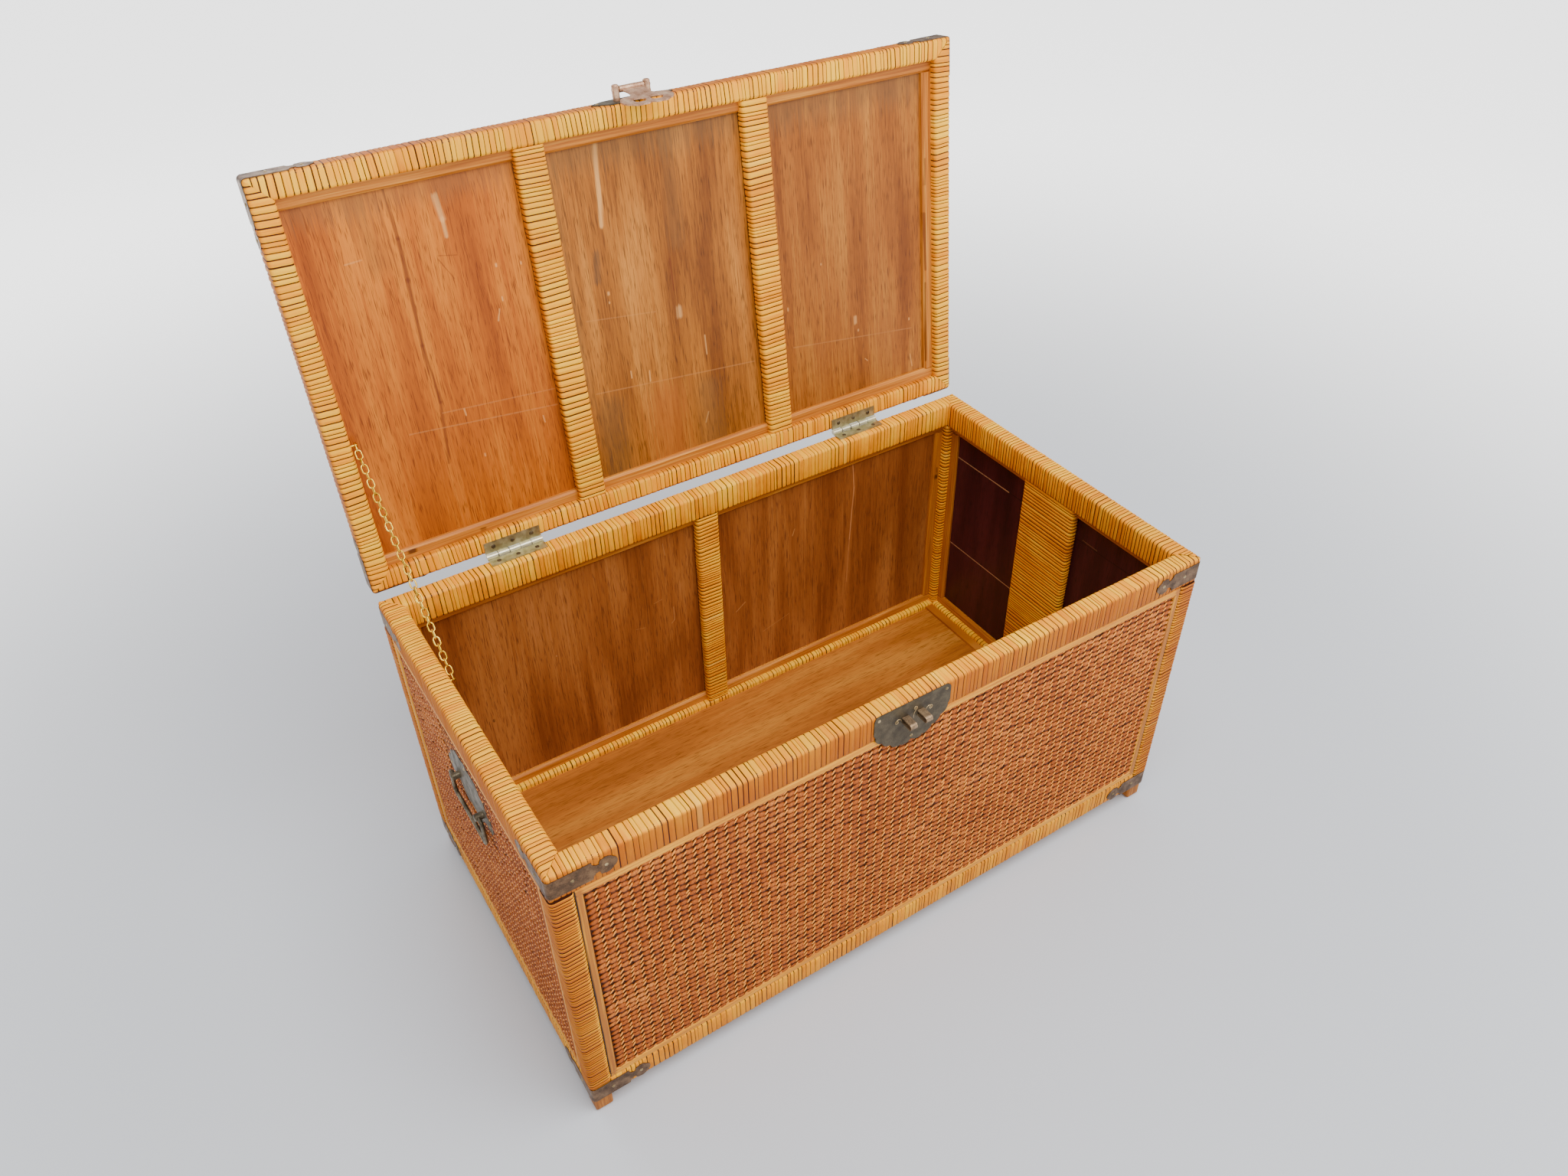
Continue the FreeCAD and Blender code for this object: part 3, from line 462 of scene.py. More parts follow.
def veneered_ply(name, plane, shades, seed, on_lid=False, marks=(), gloss=0.4):
    """Varnished plywood with a rotary-cut face: broad bands, fine grain and short dark
    pores all run one way, with the marks of use."""
    finish, add = new_finish(name, **{"Specular IOR Level": 0.25})
    here = add("SeparateXYZ", None, {0: place_in(add, on_lid)}).node.outputs
    board = add("CombineXYZ", None, {0: here[plane[0]], 1: here[plane[1]]})
    # Widths and lengths, in millimetres, of the bands, the grain and the pores
    bands, grain, pores = (
        add(
            "TexNoise", {"Scale": 1.0, "Detail": detail, "Distortion": 0.4},
            {"Vector": add(
                "Mapping",
                {"Scale": (1000 / wide, 1000 / long, 1.0), "Location": (0, 0, seed * 3.7)},
                {"Vector": board},
            )},
        )
        for wide, long, detail in ((40, 420, 3.0), (2.2, 90, 3.0), (1.0, 20, 1.0))
    )
    tone = add("Math", {"operation": "MULTIPLY_ADD", 1: 0.4}, {0: grain, 2: bands})
    shade = add("ValToRGB", None, {0: tone}, ramp=list(zip((0.5, 0.7, 0.9), shades[:3])))
    pore = add("MapRange", {"From Min": 0.55, "From Max": 0.68, "To Max": 0.7}, {"Value": pores})
    shade = add("Mix", {"data_type": "RGBA", 7: colour(shades[3])}, {0: pore, 6: shade}, out=2)
    shade = marked(add, board, grain, shade, marks)
    coat(finish, shade, grain, (gloss, gloss + 0.2), (0.35, 0.15))
    return finish


def strip_wood(name, shades, ends, on_lid=False, marks=(), plane="XZ"):
    """Varnished softwood strip with straight grain and a few knots. Strips beyond the two
    ends of the frame run level, those between run across, so the grain turns there."""
    finish, add = new_finish(name, **{"Specular IOR Level": 0.25})
    here = place_in(add, on_lid)
    parts = add("SeparateXYZ", None, {0: here}).node.outputs
    # Grain 2 mm wide and 90 mm long
    fine, slow = 1000 / 2.0, 1000 / 90
    level_scale = (slow, fine, fine) if on_lid else (slow, slow, fine)
    upright_scale = (fine, slow, fine) if on_lid else (fine, fine, slow)
    level, upright = (
        add(
            "TexNoise", {"Scale": 1.0, "Detail": 2.0},
            {"Vector": add("Mapping", {"Scale": scale}, {"Vector": here})},
        )
        for scale in (level_scale, upright_scale)
    )
    height = parts["Y" if on_lid else "Z"]
    low = add("Math", {"operation": "LESS_THAN", 1: ends[0]}, {0: height})
    high = add("Math", {"operation": "GREATER_THAN", 1: ends[1]}, {0: height})
    beyond = add("Math", {"operation": "ADD"}, {0: low, 1: high})
    grain = add("Mix", {"data_type": "FLOAT"}, {0: beyond, 2: upright, 3: level})
    # Lengths of strip differ in tone over about 200 mm
    batch = add("TexNoise", {"Scale": 5.0, "Detail": 1.0}, {"Vector": here})
    tone = add("Math", {"operation": "MULTIPLY_ADD", 1: 0.5}, {0: batch, 2: grain})
    shade = add("ValToRGB", None, {0: tone}, ramp=list(zip((0.5, 0.75, 1.0), shades)))
    board = add("CombineXYZ", None, {0: parts[plane[0]], 1: parts[plane[1]]})
    shade = marked(add, board, grain, shade, marks)
    coat(finish, shade, grain, (0.38, 0.6), (0.3, 0.15))
    return finish


def patinated_bronze(name, shades, rough, metal=0.8):
    """Sheet bronze with an old brown patina: cloudy tones some 12 mm across, pits and
    rubbed specks about 1.5 mm across."""
    finish, add = new_finish(name, **{"Metallic": metal})
    here = place_in(add)
    cloud = add("TexNoise", {"Scale": 85.0, "Detail": 4.0, "Roughness": 0.6}, {"Vector": here})
    speck = add("TexNoise", {"Scale": 620.0, "Detail": 2.0}, {"Vector": here})
    tone = add("Math", {"operation": "MULTIPLY_ADD", 1: 0.4}, {0: speck, 2: cloud})
    shade = add("ValToRGB", None, {0: tone}, ramp=list(zip((0.52, 0.7, 0.9), shades)))
    coat(finish, shade, cloud, rough[::-1], (0.3, 0.15), (0.3, 0.7), speck)
    return finish


def tarnished_steel():
    """Plated steel butt hinge: dull greenish leaves, cloudy over 7 mm, and knuckles painted
    bright as a painted highlight."""
    finish, add = new_finish("tarnished_steel", **{"Metallic": 0.85})
    here = place_in(add)
    cloud = add("TexNoise", {"Scale": 140.0, "Detail": 4.0}, {"Vector": here})
    shade = add(
        "ValToRGB", None, {0: cloud}, ramp=[(0.35, "8E8660"), (0.52, "A69E78"), (0.7, "BCB48E")]
    )
    side = add("VectorMath", {"operation": "MULTIPLY", 1: (0.0, 1.0, 1.0)}, {0: here})
    axis = {"operation": "DISTANCE", 1: (0.0, HINGE.y, HINGE.z)}
    gap = add("VectorMath", axis, {0: side}, out="Value")
    # The painted highlight on the knuckles ends between 3.1 and 3.9 mm from the hinge line
    knuckle = {"From Min": 3.9 * MM, "From Max": 3.1 * MM, "To Max": 0.8}
    painted_highlight = add("MapRange", knuckle, {"Value": gap})
    shade = add("Mix", {"data_type": "RGBA", 7: colour("E2DCC4")}, {0: painted_highlight, 6: shade}, out=2)
    # Painted shade in the joints between the five knuckles of each hinge
    spans = places_of(frame["nodes"]["hinge_leaves_box"])[:, 0]
    joints = []
    for span in (spans[spans < 0], spans[spans > 0]):
        for share in (0.2, 0.4, 0.6, 0.8):
            x = (span.min() + share * (span.max() - span.min())) / MM
            joints.append((x, 0.0, x, 3.4, 0.7, "2A2216", 0.85))
    along = add("SeparateXYZ", None, {0: here}, out="X")
    board = add("CombineXYZ", None, {0: along, 1: gap})
    shade = marked(add, board, cloud, shade, joints)
    coat(finish, shade, cloud, (0.25, 0.55))
    return finish


def studio_floor(tints):
    """Plain painted floor, paler away from the trunk, as painted light."""
    finish, add = new_finish(
        "studio_floor",
        **{"Roughness": 0.5, "Specular IOR Level": 0.3, "Emission Color": (1.0, 1.0, 1.0, 1.0)},
    )
    far = add("VectorMath", {"operation": "LENGTH"}, {0: place_in(add)}, out="Value")
    fade = add(
        "MapRange",
        {"interpolation_type": "SMOOTHSTEP", "From Min": 0.8, "From Max": 3.2}, {"Value": far},
    )
    shade = add("Mix", {"data_type": "RGBA", 6: tints.floor, 7: tints.floor_far}, {0: fade}, out=2)
    # The far floor glows a little, as a lit backdrop does
    glow = add("Math", {"operation": "MULTIPLY", 1: 2.0}, {0: fade})
    feed(finish, {"Base Color": shade, "Emission Strength": glow})
    return finish


# Cane strips round the frame


def cane_turn(name, low, high, axis, width, crown, corner, sizes):
    """One turn of cane strip at the low end of a member: an open band with a crown."""
    begin()
    size = high - low
    centre = (low + high) / 2
    size[axis] = width
    centre[axis] = low[axis] + width / 2
    bpy.ops.mesh.primitive_cube_add(size=1, location=centre, scale=size)
    turn = named(name)
    bpy.ops.object.mode_set(mode="EDIT")
    pick(turn, "FACE", lambda f: abs(f.normal[axis]) > 0.9)
    bpy.ops.mesh.delete(type="FACE")

    def lengthwise(edge):
        run = edge.verts[1].co - edge.verts[0].co
        return abs(run[axis]) > 0.9 * run.length

    pick(turn, "EDGE", lengthwise)
    bpy.ops.mesh.bevel(offset=corner, segments=3, affect="EDGES")
    pick(turn, "EDGE", lengthwise)
    bpy.ops.mesh.subdivide(number_cuts=3)
    # How far the strip's middle, quarters and edges stand off the timber
    for share, rise in ((0.0, crown), (0.5, 0.78 * crown), (1.0, -sizes.strip_sink)):
        pick(
            turn, "VERT",
            lambda v: abs(abs(v.co[axis] - centre[axis]) / (width / 2) - share) < 0.1,
        )
        bpy.ops.transform.shrink_fatten(value=rise)
    bpy.ops.object.mode_set(mode="OBJECT")
    return turn


def painted_facing_light(wrap, places, body):
    """How lit each place is painted: most where it faces up, least on the trunk's outer faces, as
    painted light and shade.
    """
    normals = np.empty(len(places) * 3)
    wrap.data.vertices.foreach_get("normal", normals)
    normals = normals.reshape(-1, 3)
    level = normals[:, 2] if body == "box" else np.abs(normals[:, 2])
    away = places[:, :2] - CENTRE
    outward = (normals[:, :2] * away).sum(1) / np.linalg.norm(away, axis=1)
    return np.clip(0.5 + 0.5 * level - np.clip(outward, 0, 0.5), 0, 1)


def round_corners(wrap, plan, radius):
    """Rounds the strips' outer corners, as the frame's upright corners are rounded."""
    places = places_of(wrap)
    reach = radius + CORNER_PLAY
    centre, half = plan
    inset = half - radius
    out = np.abs(places[:, :2] - centre) - inset
    outer = (out > 0).all(1)
    gap = np.hypot(out[:, 0], out[:, 1])
    scale = np.where(outer & (gap > reach), reach / np.maximum(gap, 1e-9), 1.0)
    side = np.sign(places[:, :2] - centre)
    moved = centre + side * (inset + out * scale[:, None])
    places[:, :2] = np.where(outer[:, None], moved, places[:, :2])
    move_to(wrap, places)


def wrap_member(name, low, high, axis, body, finish, sizes, seed, strip, swell=0.0,
                corner=None, mitres=(), plan=None, pressed=(), worn=0.0):
    """Winds cane strips along one member of the frame, cut at its mitres. A kind of strip
    has a width, a crown and the least and most darkness of its gaps. Straps nailed over
    the member press its strips flat."""
    width, crown, gap = strip
    grow = Vector([0.0 if i == axis else swell for i in range(3)])
    low, high = low - grow, high + grow
    run = high[axis] - low[axis]
    turns = max(2, round(run / width))
    width = run / turns
    wrap = cane_turn(name, low, high, axis, width, crown, corner or sizes.timber_round, sizes)
    per_turn = len(wrap.data.vertices)
    repeat(wrap, turns, [width if i == axis else 0.0 for i in range(3)])
    places = places_of(wrap)
    number = np.arange(len(places)) // per_turn
    chance = np.random.default_rng(seed)
    second, third = [i for i in range(3) if i != axis]
    middle = np.array((low + high) / 2)
    half = np.array((high - low) / 2)
    around = np.arctan2(
        (places[:, third] - middle[third]) / half[third],
        (places[:, second] - middle[second]) / half[second],
    ) * (half[second] + half[third]) / 2
    store(wrap, "strip", chance.random(turns)[number])
    store(wrap, "across", (places[:, axis] - low[axis] - (number + 0.5) * width) / (width / 2))
    store(wrap, "around", around)
    store(wrap, "gap", chance.uniform(*gap, turns)[number] ** 2)
    # Painted light and shade by facing, shifted for some members
    store(wrap, "faded", worn + painted_facing_light(wrap, places, body))
    # Strips differ in width, in tightness and a little in slant, as wound by hand
    shares = chance.uniform(*WIDTH_SPREAD, turns)
    marks = low[axis] + run * np.concatenate(([0.0], np.cumsum(shares) / shares.sum()))
    places[:, axis] = np.interp(
        places[:, axis], low[axis] + width * np.arange(turns + 1), marks
    )
    tight = chance.uniform(0.0, LOOSEST, turns)[number]
    for side in (second, third):
        places[:, side] += tight * (places[:, side] - middle[side]) / half[side]
    slant = SLANT * np.sin((places[:, axis] - low[axis]) / SLANT_WAVE + seed)
    from_end = np.minimum(places[:, axis] - low[axis], high[axis] - places[:, axis])
    slant *= np.clip(from_end / SLANT_EASE, 0, 1)
    places[:, axis] += slant * (places[:, second] - middle[second]) / half[second]
    for start, end in pressed:
        under = (places[:, axis] > start - PRESS_MARGIN) & (places[:, axis] < end + PRESS_MARGIN)
        for side in (second, third):
            places[under, side] = middle[side] + PRESS * (places[under, side] - middle[side])
    move_to(wrap, places)
    if mitres:
        bpy.ops.object.mode_set(mode="EDIT")
        for spot, outward in mitres:
            bpy.ops.mesh.select_all(action="SELECT")
            bpy.ops.mesh.bisect(plane_co=spot, plane_no=outward, clear_outer=True)
        bpy.ops.object.mode_set(mode="OBJECT")
    if plan:
        round_corners(wrap, plan, sizes.timber_round)
    if body == "lid":
        wrap.data.transform(OPEN_LID)
    hand_over(wrap, body, finish)


def mitred_frame(box_of, prefix):
    """Spans, mitre cuts and plan of four rails that meet at 45 degrees."""
    boxes = {side: box_of(f"{prefix}_{side}") for side in SIDES}
    low = Vector((boxes["left"][0].x, boxes["front"][0].y, 0))
    high = Vector((boxes["right"][1].x, boxes["back"][1].y, 0))
    ends = {-1: low, 1: high}
    corner = {(x, y): Vector((ends[x].x, ends[y].y, 0)) for x in ends for y in ends}
    spans = {}
    for side, (start, end) in boxes.items():
        axis = AXIS_OF[side]
        sign = -1 if side in ("front", "left") else 1
        start, end = start.copy(), end.copy()
        start[axis], end[axis] = low[axis], high[axis]
        if axis == 0:
            cuts = [(corner[x, sign], (x, -sign, 0)) for x in ends]
        else:
            cuts = [(corner[sign, y], (-sign, y, 0)) for y in ends]
        spans[side] = (start, end, axis, cuts)
    return spans, (np.array(((low + high) / 2)[:2]), np.array(((high - low) / 2)[:2]))


def stile_box(node, sign, turn):
    """Box of one of the two stiles of a node, picked by the side it is on, after a turn."""
    places = np.array([turn @ v.co for v in frame["nodes"][node].data.vertices])
    places = places[places[:, 0] * sign > 0]
    return Vector(places.min(0)), Vector(places.max(0))


class TRUNK_OT_wrap_frame(bpy.types.Operator):
    """Wind cane strips round every rail, post and stile"""

    bl_idname = "trunk.wrap_frame"
    bl_label = "Wrap the frame"

    def execute(self, context):
        sizes = context.scene.trunk.sizes
        finish = split_cane(context.scene.trunk.tints)
        crown = sizes.strip_crown
        # The last pair is the least and most darkness of the gaps; all but flat strips get more, as
        # painted shade between ridges
        flat = (sizes.wide_strip, crown, (0.4, 1.5))
        ridged = (sizes.wide_strip, 2.8 * crown, (0.9, 1.4))
        rounded = (sizes.round_strip, 3.2 * crown, (1.0, 1.4))
        narrow = (sizes.narrow_strip, 3.2 * crown, (1.9, 2.6))
        jobs = []
        for prefix, box_of, body in (("top_rail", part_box, "box"), ("lid_rail", shut_box, "lid")):
            spans, plan = mitred_frame(box_of, prefix)
            for side, (low, high, axis, cuts) in spans.items():
                strip = flat if axis == 0 else ridged if body == "lid" else rounded
                extra = {"mitres": cuts, "plan": plan}
                if body == "lid" and side == "back":
                    # The lid's back rail is set darker and redder
                    extra["worn"] = -0.35
                jobs.append((f"cane_{prefix}_{side}", low, high, axis, body, strip, extra))
        for side in SIDES:
            rail = f"bottom_rail_{side}"
            jobs.append((
                f"cane_{rail}", *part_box(rail), AXIS_OF[side], "box", flat, {"worn": 0.35},
            ))
        heights = places_of(frame["nodes"]["corner_straps"])[:, 2]
        level = (heights.min() + heights.max()) / 2
        lower, upper = heights[heights < level], heights[heights > level]
        round_post = {
            "swell": 0.6 * MM, "corner": 5.0 * MM, "worn": -0.08,
            "pressed": [(lower.min(), lower.max()), (upper.min(), upper.max())],
        }
        for y in SIDES[:2]:
            for x in SIDES[2:]:
                low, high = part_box(f"post_{y}_{x}")
                low.z = sizes.foot_height
                strip = narrow if y == "front" else rounded
                jobs.append((f"cane_post_{y}_{x}", low, high, 2, "box", strip, round_post))
        for side in SIDES[:2]:
            jobs.append((f"cane_stile_{side}", *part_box(f"stile_{side}"), 2, "box", rounded, {}))
        for side, sign in (("left", -1), ("right", 1)):
            # Two stiles share a node on the end walls and in the lid
            wall = stile_box("side_stiles", sign, Matrix.Identity(4))
            jobs.append((f"cane_stile_{side}", *wall, 2, "box", rounded, {}))
            lid = stile_box("lid_stiles", sign, OPEN_LID.inverted())
            jobs.append((f"cane_lid_stile_{side}", *lid, 1, "lid", ridged, {}))
        for seed, (name, low, high, axis, body, strip, extra) in enumerate(jobs):
            wrap_member(name, low, high, axis, body, finish, sizes, seed, strip, **extra)
        return {"FINISHED"}


# Woven panels


def cane_stitch(name, sizes):
    """One stitch of twined cane: a broad hump over a stake and, beside it, the thin slanted
    twist that leads on to the next. It runs along X and rises towards -Y."""
    column = sizes.stake_spacing
    parts = []
    for part, radius, reach, cuts, middle, lean, flatness in (
        ("hump", sizes.strand_width / 2, 0.46 * column, 3, 0.0, 8, 0.3),
        ("twist", 0.2 * sizes.strand_width, 0.42 * column, 2, column / 2, 48, 0.7),
    ):
        begin()
        bpy.ops.mesh.primitive_cylinder_add(
            vertices=4, radius=radius, depth=2 * reach, rotation=(0, math.pi / 2, 0)
        )
        piece = named(f"{name}_{part}")
        bpy.ops.object.mode_set(mode="EDIT")
        pick(piece, "EDGE", lambda e: abs(e.verts[1].co.x - e.verts[0].co.x) > reach)
        bpy.ops.mesh.subdivide(number_cuts=cuts)
        bpy.ops.mesh.select_all(action="SELECT")
        bpy.ops.transform.resize(value=(1.0, flatness, 1.0))
        bpy.ops.object.mode_set(mode="OBJECT")
        places = places_of(piece)
        wave = np.cos(0.5 * np.pi * places[:, 0] / reach)
        # Painted highlight on the twist, painted shade at the hump's ends and underneath
        if part == "hump":
            lower = places[:, 2] < -0.1 * radius
            shown, lift = 0.42 + 0.58 * wave - 0.32 * lower, wave
        else:
            shown, lift = 0.7 + 0.8 * wave, 0.35 + 0.5 * wave
        store(piece, "rise", np.clip(shown, 0, 1.5))
        places[:, 2] *= 0.5 + 0.5 * wave
        places[:, 1] -= sizes.strand_rise * lift
        turn = np.array(Matrix.Rotation(math.radians(-lean), 3, "Y"))
        places = places @ turn.T
        places[:, 0] += middle
        move_to(piece, places)
        parts.append(piece)
    return joined(parts, name)


def weave_panel(name, width, height, turn, body, finish, sizes, seed, pressed=None):
    """Fills a flat panel with stakes and rows of stitches and turns it into place. Stitches
    are pressed flat between two corners, where a handle plate lies on them."""
    across, up = sizes.stake_spacing, sizes.strand_spacing
    columns = round(width / across)
    rows = round(height / up) + 1
    weave = cane_stitch(name, sizes)
    per_stitch = len(weave.data.vertices)
    repeat(weave, columns, (across, 0, 0))
    repeat(weave, rows, (0, 0, up))
    places = places_of(weave)
    number = np.arange(len(places)) // per_stitch
    chance = np.random.default_rng(seed)
    store(weave, "strand", chance.random(columns * rows)[number])
    # Stitches are pulled tighter or looser and wander a little
    middle = np.stack([number % columns * across, number // columns * up], 1)
    away = places[:, [0, 2]] - middle
    size = chance.uniform(*STITCH_SPREAD, columns * rows)[number]
    tilt = chance.normal(0, STITCH_TILT, columns * rows)[number]
    away = np.stack([away[:, 0], (away[:, 1] + tilt * away[:, 0]) * size], 1)
    drift = chance.normal(0, STITCH_DRIFT, (columns * rows, 2))[number]
    middle[:, 0] += across / 2
    fit = np.array([width / (columns * across), height / ((rows - 1) * up)])
    spread = (away + middle + drift) * fit
    places[:, 0] = np.clip(spread[:, 0], 0, width) - width / 2
    places[:, 1] *= size
    places[:, 2] = np.clip(spread[:, 1], 0, height)
    if pressed:
        spot = middle * fit - (width / 2, 0)
        under = ((spot > pressed[0]) & (spot < pressed[1])).all(1)
        places[under, 1] *= STITCH_PRESS
    move_to(weave, places)
    # Stakes stand upright behind the strands, painted mostly in shade
    begin()
    bpy.ops.mesh.primitive_cylinder_add(
        vertices=6, radius=STAKE_RADIUS * across, depth=height, location=(0, 0, height / 2)
    )
    stakes = named(name + "_stakes")
    repeat(stakes, columns, (across, 0, 0))
    places = places_of(stakes)
    places[:, 0] = (places[:, 0] + across / 2) * fit[0] - width / 2
    places[:, 1] *= STAKE_FLATNESS
    move_to(stakes, places)
    store(stakes, "rise", np.full(len(places), 0.32))
    store(stakes, "strand", np.full(len(places), 0.5))
    weave = joined([weave, stakes], name)
    weave.data.transform(turn)
    hand_over(weave, body, finish)


class TRUNK_OT_weave_panels(bpy.types.Operator):
    """Weave the strands of the four walls and the lid"""

    bl_idname = "trunk.weave_panels"
    bl_label = "Weave the panels"

    def execute(self, context):
        sizes = context.scene.trunk.sizes
        tints = context.scene.trunk.tints
        finish = woven_cane(tints)
        # The panels behind the strands are painted dark, as painted shadow
        dress(weave_shadow_sheet(tints), *[f"cane_{side}" for side in SIDES], "lid_cane")
        bead = sizes.bead_width
        angles = (0.0, math.pi, -math.pi / 2, math.pi / 2)
        for side, angle in zip(SIDES, angles):
            axis = AXIS_OF[side]
            low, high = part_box(f"cane_{side}")
            spin = Matrix.Rotation(angle, 4, "Z")
            face = (low + high) / 2
            flat = 1 - axis
            face[flat] = low[flat] if (spin @ Vector((0, -1, 0)))[flat] < 0 else high[flat]
            face.z = low.z + bead
            pressed = None
            if axis == 1:
                start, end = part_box("handle_plates")
                half = (end.y - start.y) / 2 + sizes.stake_spacing
                row = sizes.strand_spacing
                pressed = ((-half, start.z - face.z - row), (half, end.z - face.z + row))
            weave_panel(
                f"weave_{side}", high[axis] - low[axis] - 2 * bead, high.z - low.z - 2 * bead,
                Matrix.Translation(face) @ spin, "box", finish, sizes, WEAVE_SEEDS[side], pressed,
            )
        low, high = shut_box("lid_cane")
        face = Vector(((low.x + high.x) / 2, low.y + bead, high.z))
        turn = OPEN_LID @ Matrix.Translation(face) @ Matrix.Rotation(-math.pi / 2, 4, "X")
        weave_panel(
            "weave_lid", high.x - low.x - 2 * bead, high.y - low.y - 2 * bead,
            turn, "lid", finish, sizes, WEAVE_SEEDS["lid"],
        )
        return {"FINISHED"}


# Boards, strips and metal

# Marks of use, and lines of painted shade, run from one place to another on their board, in
# millimetres, and have half their width, their colour and how strongly they show
PALE, CRACK, FAINT = "DCA05C", "662A08", "CC8E50"
LEFT_MARKS = [
    (-313, -245, -310, -190, 2.0, CRACK, 0.7), (-310, -190, -311, -144, 3.0, CRACK, 0.75),
    (-311, -144, -313, -67, 2.5, CRACK, 0.75), (-313, -67, -309, 5, 2.5, CRACK, 0.7),
    (-309, 5, -318, 83, 2.2, CRACK, 0.65), (-322, -240, -319, -150, 1.0, CRACK, 0.4),
    (-260, -226, -257, -200, 3.4, PALE, 0.6), (-257, -200, -256.5, -181, 2.4, PALE, 0.6),
    (-272, -158, -259, -133, 0.8, CRACK, 0.6), (-271, -162, -250, -158, 0.7, CRACK, 0.5),
    (-373, -176, -354, -177, 0.9, PALE, 0.3), (-208, -137, -208, -135, 1.6, PALE, 0.6),
    (-178, -132, -178, -131, 1.4, PALE, 0.6), (-209, -98, -209, -94, 1.3, PALE, 0.6),
    (-219, -72, -215, -85, 1.0, PALE, 0.5), (-272, 86, -272, 89, 1.2, PALE, 0.5),
    (-284, 22, -283, 30, 1.0, PALE, 0.5), (-189, 61, -188, 70, 0.8, PALE, 0.5),
    (-354, 33, -168, 52, 0.9, FAINT, 0.25), (-310, 19, -164, 31, 0.9, FAINT, 0.22),
    (-345, -240, -338, -170, 16, "7A4A20", 0.35), (-410, -245, -165, -245, 24, "7E5A34", 0.35),
]
MIDDLE_MARKS = [
    (-63, -245, -70, -151, 3.2, "E4A860", 0.65), (-83, -119, -88, -87, 5.0, "54402C", 0.45),
    (-75, -69, -75, -67, 1.8, PALE, 0.6), (-76, -57, -76, -56, 1.2, PALE, 0.5),
    (18, -25, 18, -15, 4.2, "D29A5C", 0.6), (13, -90, 14, -50, 1.5, CRACK, 0.55),
    (-114, 55, 121, 78, 0.9, FAINT, 0.25), (-110, -41, -16, -29, 0.8, FAINT, 0.2),
    (-36, 46, -37, 60, 1.2, PALE, 0.6), (-62, 39, -62, 48, 1.0, PALE, 0.6),
    (36, 143, 42, 129, 1.0, PALE, 0.6), (50, 21, 50, 47, 0.9, PALE, 0.5),
    (-100, 84, -100, 186, 22, "5E4424", 0.45), (-18, 94, -18, 186, 30, "A8571A", 0.45),
    (45, 96, 45, 186, 20, "6A4A28", 0.4), (-132, -220, -132, 60, 16, "6E5228", 0.4),
    (30, -240, 26, -110, 12, "7A5026", 0.35), (-140, -245, 140, -245, 28, "6E5230", 0.4),
]
RIGHT_MARKS = [
    (292, 61, 292, 69, 2.8, PALE, 0.5), (296, 81, 296, 82, 1.8, PALE, 0.5),
    (239, -29, 239, -28, 1.2, PALE, 0.5), (181, 19, 181, 22, 1.5, PALE, 0.5),
    (387, 88, 387, 90, 1.3, PALE, 0.6), (186, 77, 391, 104, 0.9, FAINT, 0.22),
    (388, 144, 391, 164, 0.9, PALE, 0.5), (306, 128, 310, 132, 0.7, PALE, 0.5),
    (340, 90, 340, 186, 20, "8E4A14", 0.4), (230, 90, 230, 186, 16, "8E4A14", 0.35),
    (165, -245, 400, -245, 34, "6E5230", 0.4),
]
BACK_MARKS = [
    (257, 400, 261, 349, 0.9, "D08A50", 0.8), (261, 349, 255, 254, 1.0, "D08A50", 0.85),
    (255, 254, 251, 170, 0.8, "C07A42", 0.7), (251, 170, 241, 84, 0.7, "A8642E", 0.5),
    (153, 316, 149, 305, 0.8, FAINT, 0.5), (62, 215, 46, 203, 0.9, FAINT, 0.5),
    (141, 155, 92, 141, 0.6, FAINT, 0.35), (-58, 262, -58, 238, 0.7, FAINT, 0.5),
    (-58, 238, -63, 233, 0.7, FAINT, 0.5), (-88, 282, -75, 284, 0.5, FAINT, 0.4),
    (-120, 248, -106, 245, 0.5, FAINT, 0.4), (-66, 380, -64, 359, 0.6, FAINT, 0.4),
    (-243, 259, -243, 260, 1.0, FAINT, 0.6), (-348, 189, -348, 192, 2.0, "3A1A08", 0.7),
    (-150, 100, -60, 180, 26, "6A3008", 0.35),
]
# The right-hand lining is three dark boards with open joints
JOINT_MARKS = [
    (186, 355, 54, 356, 0.9, "C89A6A", 0.85), (186, 190, 18, 190, 0.9, "C89A6A", 0.85),
    (54, 356, -260, 362, 0.7, "140607", 0.8), (-86, 190, -260, 190, 0.7, "140607", 0.8),
    (-100, 363, -128, 362, 0.7, "8A6440", 0.6),
]
# Upright beading is darker, with painted shade where it meets the posts
BEAD_MARKS = [(x, 45, x, 405, 4.6, "98541A", 0.75) for x in (-419.5, 419.5)]
BEAD_MARKS += [(x, 30, x, 420, 1.1, "1E0A04", 1.0) for x in (-423.8, 423.8)]
# Knots and stains in the mouldings
MOULDING_MARKS = [
    (418, 313, 418, 315, 4.0, "4A2008", 0.85), (418, 322, 418, 330, 2.0, "6A330C", 0.6),
]
LID_MOULDING_MARKS = [
    (-392, 178, -388, 178, 4.0, "4A2008", 0.85), (-300, 181, -296, 181, 2.6, "5A2708", 0.7),
    (414, -135, 414, -100, 1.6, "5A2708", 0.7), (413, -60, 414, 20, 1.8, "5A2708", 0.6),
    (413, 40, 413, 160, 1.4, "4A2008", 0.6),
]


